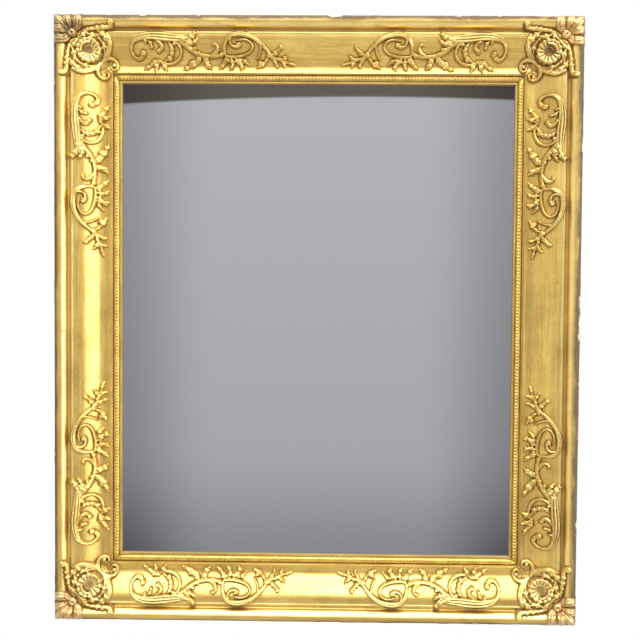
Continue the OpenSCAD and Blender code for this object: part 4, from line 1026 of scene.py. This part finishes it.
def sight_piece(side, dull):
    """The strip's low bed with a row of leaf tips on it, made along X and then put in its place.

    dull is how much darker the whole strip is painted: painted shade, on the strips that face away from
    the light."""
    way, node = SIDES[side], "sight_moulding_" + side
    length = OUTER_H if way[2] else OUTER_W
    middle = STRIP_U + STRIP_W / 2
    bed = arc(middle, BED_H, STRIP_W / 2 - BED_INSET, STRIP_H - BED_DROP, 170, 10, 9)
    section = np.array([(STRIP_U + BED_EDGE, BED_H), *bed, (LIP_U - BED_EDGE, BED_H)])
    s, u, v, faces = swept(section, length, stations=60)
    points = np.column_stack([s.ravel(), u.ravel(), v.ravel()]) * MM
    obj = new_object(node + "_gilt", points, faces, True)

    run = length - 2 * LIP_U
    count = int(run / LEAF_PITCH)
    step = run / count
    leaves = Vector((LIP_U + step / 2, middle + LEAF_SHIFT, BED_H + LEAF_RISE))
    darts = leaves + Vector((step / 2, -DART_SHIFT, -DART_DROP))
    settings = {"Count": count, "Step": Vector((step, 0, 0)) * MM, "Leaves": leaves * MM,
                "Darts": darts * MM, "Finish": sight_gilding}
    modifier = obj.modifiers.new("leaf_tips", "NODES")
    modifier.node_group = leaf_tips
    for item in leaf_tips.interface.items_tree:
        if item.in_out == "INPUT" and item.name in settings:
            modifier[item.identifier] = settings[item.name]
    plain_mesh(obj)
    mesh = obj.data
    flat = np.empty(len(mesh.vertices) * 3)
    mesh.vertices.foreach_get("co", flat)
    local = flat.reshape(-1, 3) / MM
    put_layer(obj, "height", ((local[:, 2] - BED_H) / STRIP_H - dull).clip(0, 1))
    mesh.vertices.foreach_set("co", place(local, way).ravel())
    if not is_turned(way):
        mesh.flip_normals()
    mesh.update()
    finish_piece(obj, ROOT, node, sight_gilding)


# the top and right strips get painted shade, as they face away from the light
for side, dull in (("top", 0.36), ("bottom", 0.0), ("left", 0.0), ("right", 0.12)):
    sight_piece(side, dull)


# ---------------- battens, keys and fittings
def repaint(node, material):
    """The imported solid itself, with that material."""
    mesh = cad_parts[node].data
    mesh.materials.clear()
    mesh.materials.append(material)


for side, way in SIDES.items():
    repaint("back_batten_" + side, pine_upright if way[2] else pine_across)
for corner, (way, *_) in CORNERS.items():
    repaint("corner_key_" + corner, beech_rising if way[0] == way[1] else beech_falling)


def eased_copy(node, body, material, edge):
    """A copy of a solid with its edges eased by that width, which stands for it."""
    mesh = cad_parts[node].data.copy()
    work = bmesh.new()
    work.from_mesh(mesh)
    bmesh.ops.remove_doubles(work, verts=work.verts, dist=TINY)
    bmesh.ops.dissolve_limit(work, angle_limit=math.radians(0.5), verts=work.verts, edges=work.edges)
    work.to_mesh(mesh)
    work.free()
    obj = add_object(node + "_worn", mesh)
    bevel = obj.modifiers.new("eased", "BEVEL")
    bevel.width, bevel.segments, bevel.limit_method = edge * MM, 2, "ANGLE"
    bevel.angle_limit = math.radians(40)
    plain_mesh(obj)
    finish_piece(obj, body, node, material, angle=35)


for side in ("left", "right"):
    eased_copy("hanger_strap_" + side, ROOT, brass, edge=0.15)
    eased_copy("d_ring_" + side, "d_ring_" + side, brass, edge=0.1)
for side in (*SIDE_SCROLLS, "top", "bottom"):
    eased_copy("turn_button_" + side, "turn_button_" + side, brass, edge=0.25)
for node in ("hanger_screws", "turn_button_screws"):
    eased_copy(node, ROOT, iron, edge=0.12)


# ---------------- camera, floor, world and lamps
CAMERA_AT = (0.03, -1.508, 0.059)
BLACK, WALL_GREY, ROOM_WHITE = (0.0, 0.0, 0.0), (0.445, 0.455, 0.48), (1.0, 0.985, 0.955)
PAPER_WAY = (-0.05, -0.8, -0.6)
FLOOR_R, FLOOR_Z, FLOOR_SIDES = 0.6, -0.8, 64


def place_camera():
    """The photograph's camera, fitted to the outlines of the frame and its opening."""
    camera = add_object("camera", bpy.data.cameras.new("camera"))
    camera.data.lens, camera.data.sensor_width = 61.9, 36.0
    yaw, roll, pitch = [Matrix.Rotation(angle, 3, axis)
                        for angle, axis in ((-0.0171, "Z"), (0.0081, "Y"), (0.0386, "X"))]
    right, forward, up = (yaw @ roll @ pitch).row
    axes = Matrix((right, up, -forward)).transposed()
    camera.matrix_world = Matrix.Translation(CAMERA_AT) @ axes.to_4x4()
    bpy.context.scene.camera = camera


def add_floor():
    """A pale round floor, well below the hung frame."""
    angles = np.linspace(0, 2 * math.pi, FLOOR_SIDES + 1)[:-1]
    ring = [(FLOOR_R * math.cos(a), FLOOR_R * math.sin(a), FLOOR_Z) for a in angles]
    floor = new_object("studio_floor", ring, [list(range(FLOOR_SIDES))])
    material, b = new_material("floor_white")
    ray = b.add("ShaderNodeLightPath", output=0)
    matt = b.add("ShaderNodeBsdfDiffuse", {"Color": (0.52, 0.52, 0.52, 1)})
    glow = b.add("ShaderNodeEmission", {"Color": (1, 1, 1, 1), "Strength": ray * 0.45})
    surface = b.add("ShaderNodeAddShader", {0: matt, 1: glow})
    b.add("ShaderNodeOutputMaterial", {"Surface": surface})
    floor.data.materials.append(material)


def set_world():
    """The room that lights and mirrors in the frame, and the wall that the camera alone sees."""
    world = bpy.data.worlds.new("studio")
    world.use_nodes = True
    bpy.context.scene.world = world
    b = Board(world.node_tree)
    # is the ray a camera, a glossy or a transmission ray
    seen, glossy, through = [b.add("ShaderNodeLightPath", output=k) for k in (0, 3, 6)]
    where = b.add("ShaderNodeTexCoord", output=0)
    x, y, z = b.axes(where)
    ahead = y.larger(0.001)
    across, rise = x / ahead, z / ahead
    # the grey wall shows only through the opening, and its edge hides behind the rails
    dx, dz = (across + 0.02).unsigned(), (rise + 0.039).unsigned()
    wall = (1 - dx.between(0.198, 0.202)) * (1 - dz.between(0.234, 0.238)) * y.between(0.3, 0.31)
    # painted shade on the wall: darker towards its sides and its bottom
    fall = 1 - dx.between(0.09, 0.19) * 0.36 - (0.15 - rise) * 0.5
    grey = b.mix(fall - (1 - rise.between(-0.28, -0.15)) * 0.3, BLACK, WALL_GREY)
    # a shadow with an arched edge lies along the wall under the top rail
    edge = rise + (across - 0.03) * (across - 0.03) * 0.146
    shadow = b.mix(dx.between(0.06, 0.19), (0.118, 0.112, 0.092), (0.06, 0.05, 0.044))
    grey = b.mix(edge.between(0.1615, 0.1645), grey, shadow)
    backdrop = b.mix(wall, (1.0, 1.0, 1.0), grey)
    # the room that the gold mirrors: bright on the right and above, with white paper low in front
    paper = b.add("ShaderNodeVectorMath", {0: where, 1: PAPER_WAY}, {"operation": "DOT_PRODUCT"}, 1)
    level = 0.49 + x.between(0.1, 0.95) * 0.3 + z.between(0.08, 0.35) * 0.4
    level = level + paper.between(0.8, 0.97) * 0.45
    level = level + (0 - x).between(0.25, 0.85) * 0.48 + (0 - x).between(0.86, 0.98) * 0.25
    level = level + z.between(-0.97, -0.88) * (0 - z).between(0.6, 0.8) * 0.25
    room = b.mix(level, BLACK, ROOM_WHITE)
    soft, mirrored_room, plain = [
        b.add("ShaderNodeBackground", {"Color": colour, "Strength": strength})
        for colour, strength in ((room, 0.8), (room, 0.95), (backdrop, 1.0))]
    shiny = (glossy + through).smaller(1.0)
    light = b.add("ShaderNodeMixShader", {0: shiny, 1: soft, 2: mirrored_room})
    surface = b.add("ShaderNodeMixShader", {0: seen, 1: light, 2: plain})
    b.add("ShaderNodeOutputWorld", {"Surface": surface})


def add_lamp(name, at, width, height, power):
    """A soft oblong lamp that faces the frame."""
    lamp = bpy.data.lights.new(name, "AREA")
    lamp.shape, lamp.size, lamp.size_y, lamp.energy = "RECTANGLE", width, height, power
    obj = add_object(name, lamp)
    obj.location = at
    obj.rotation_mode = "QUATERNION"
    obj.rotation_quaternion = (-Vector(at)).to_track_quat("-Z", "Y")


place_camera()
add_floor()
set_world()
add_lamp("window_right", at=(2.2, -0.62, 0.2), width=1.25, height=2.3, power=35.0)
add_lamp("ceiling_front", at=(0.1, -0.95, 1.9), width=2.0, height=2.8, power=86.0)

bpy.context.scene.view_settings.view_transform = "Standard"
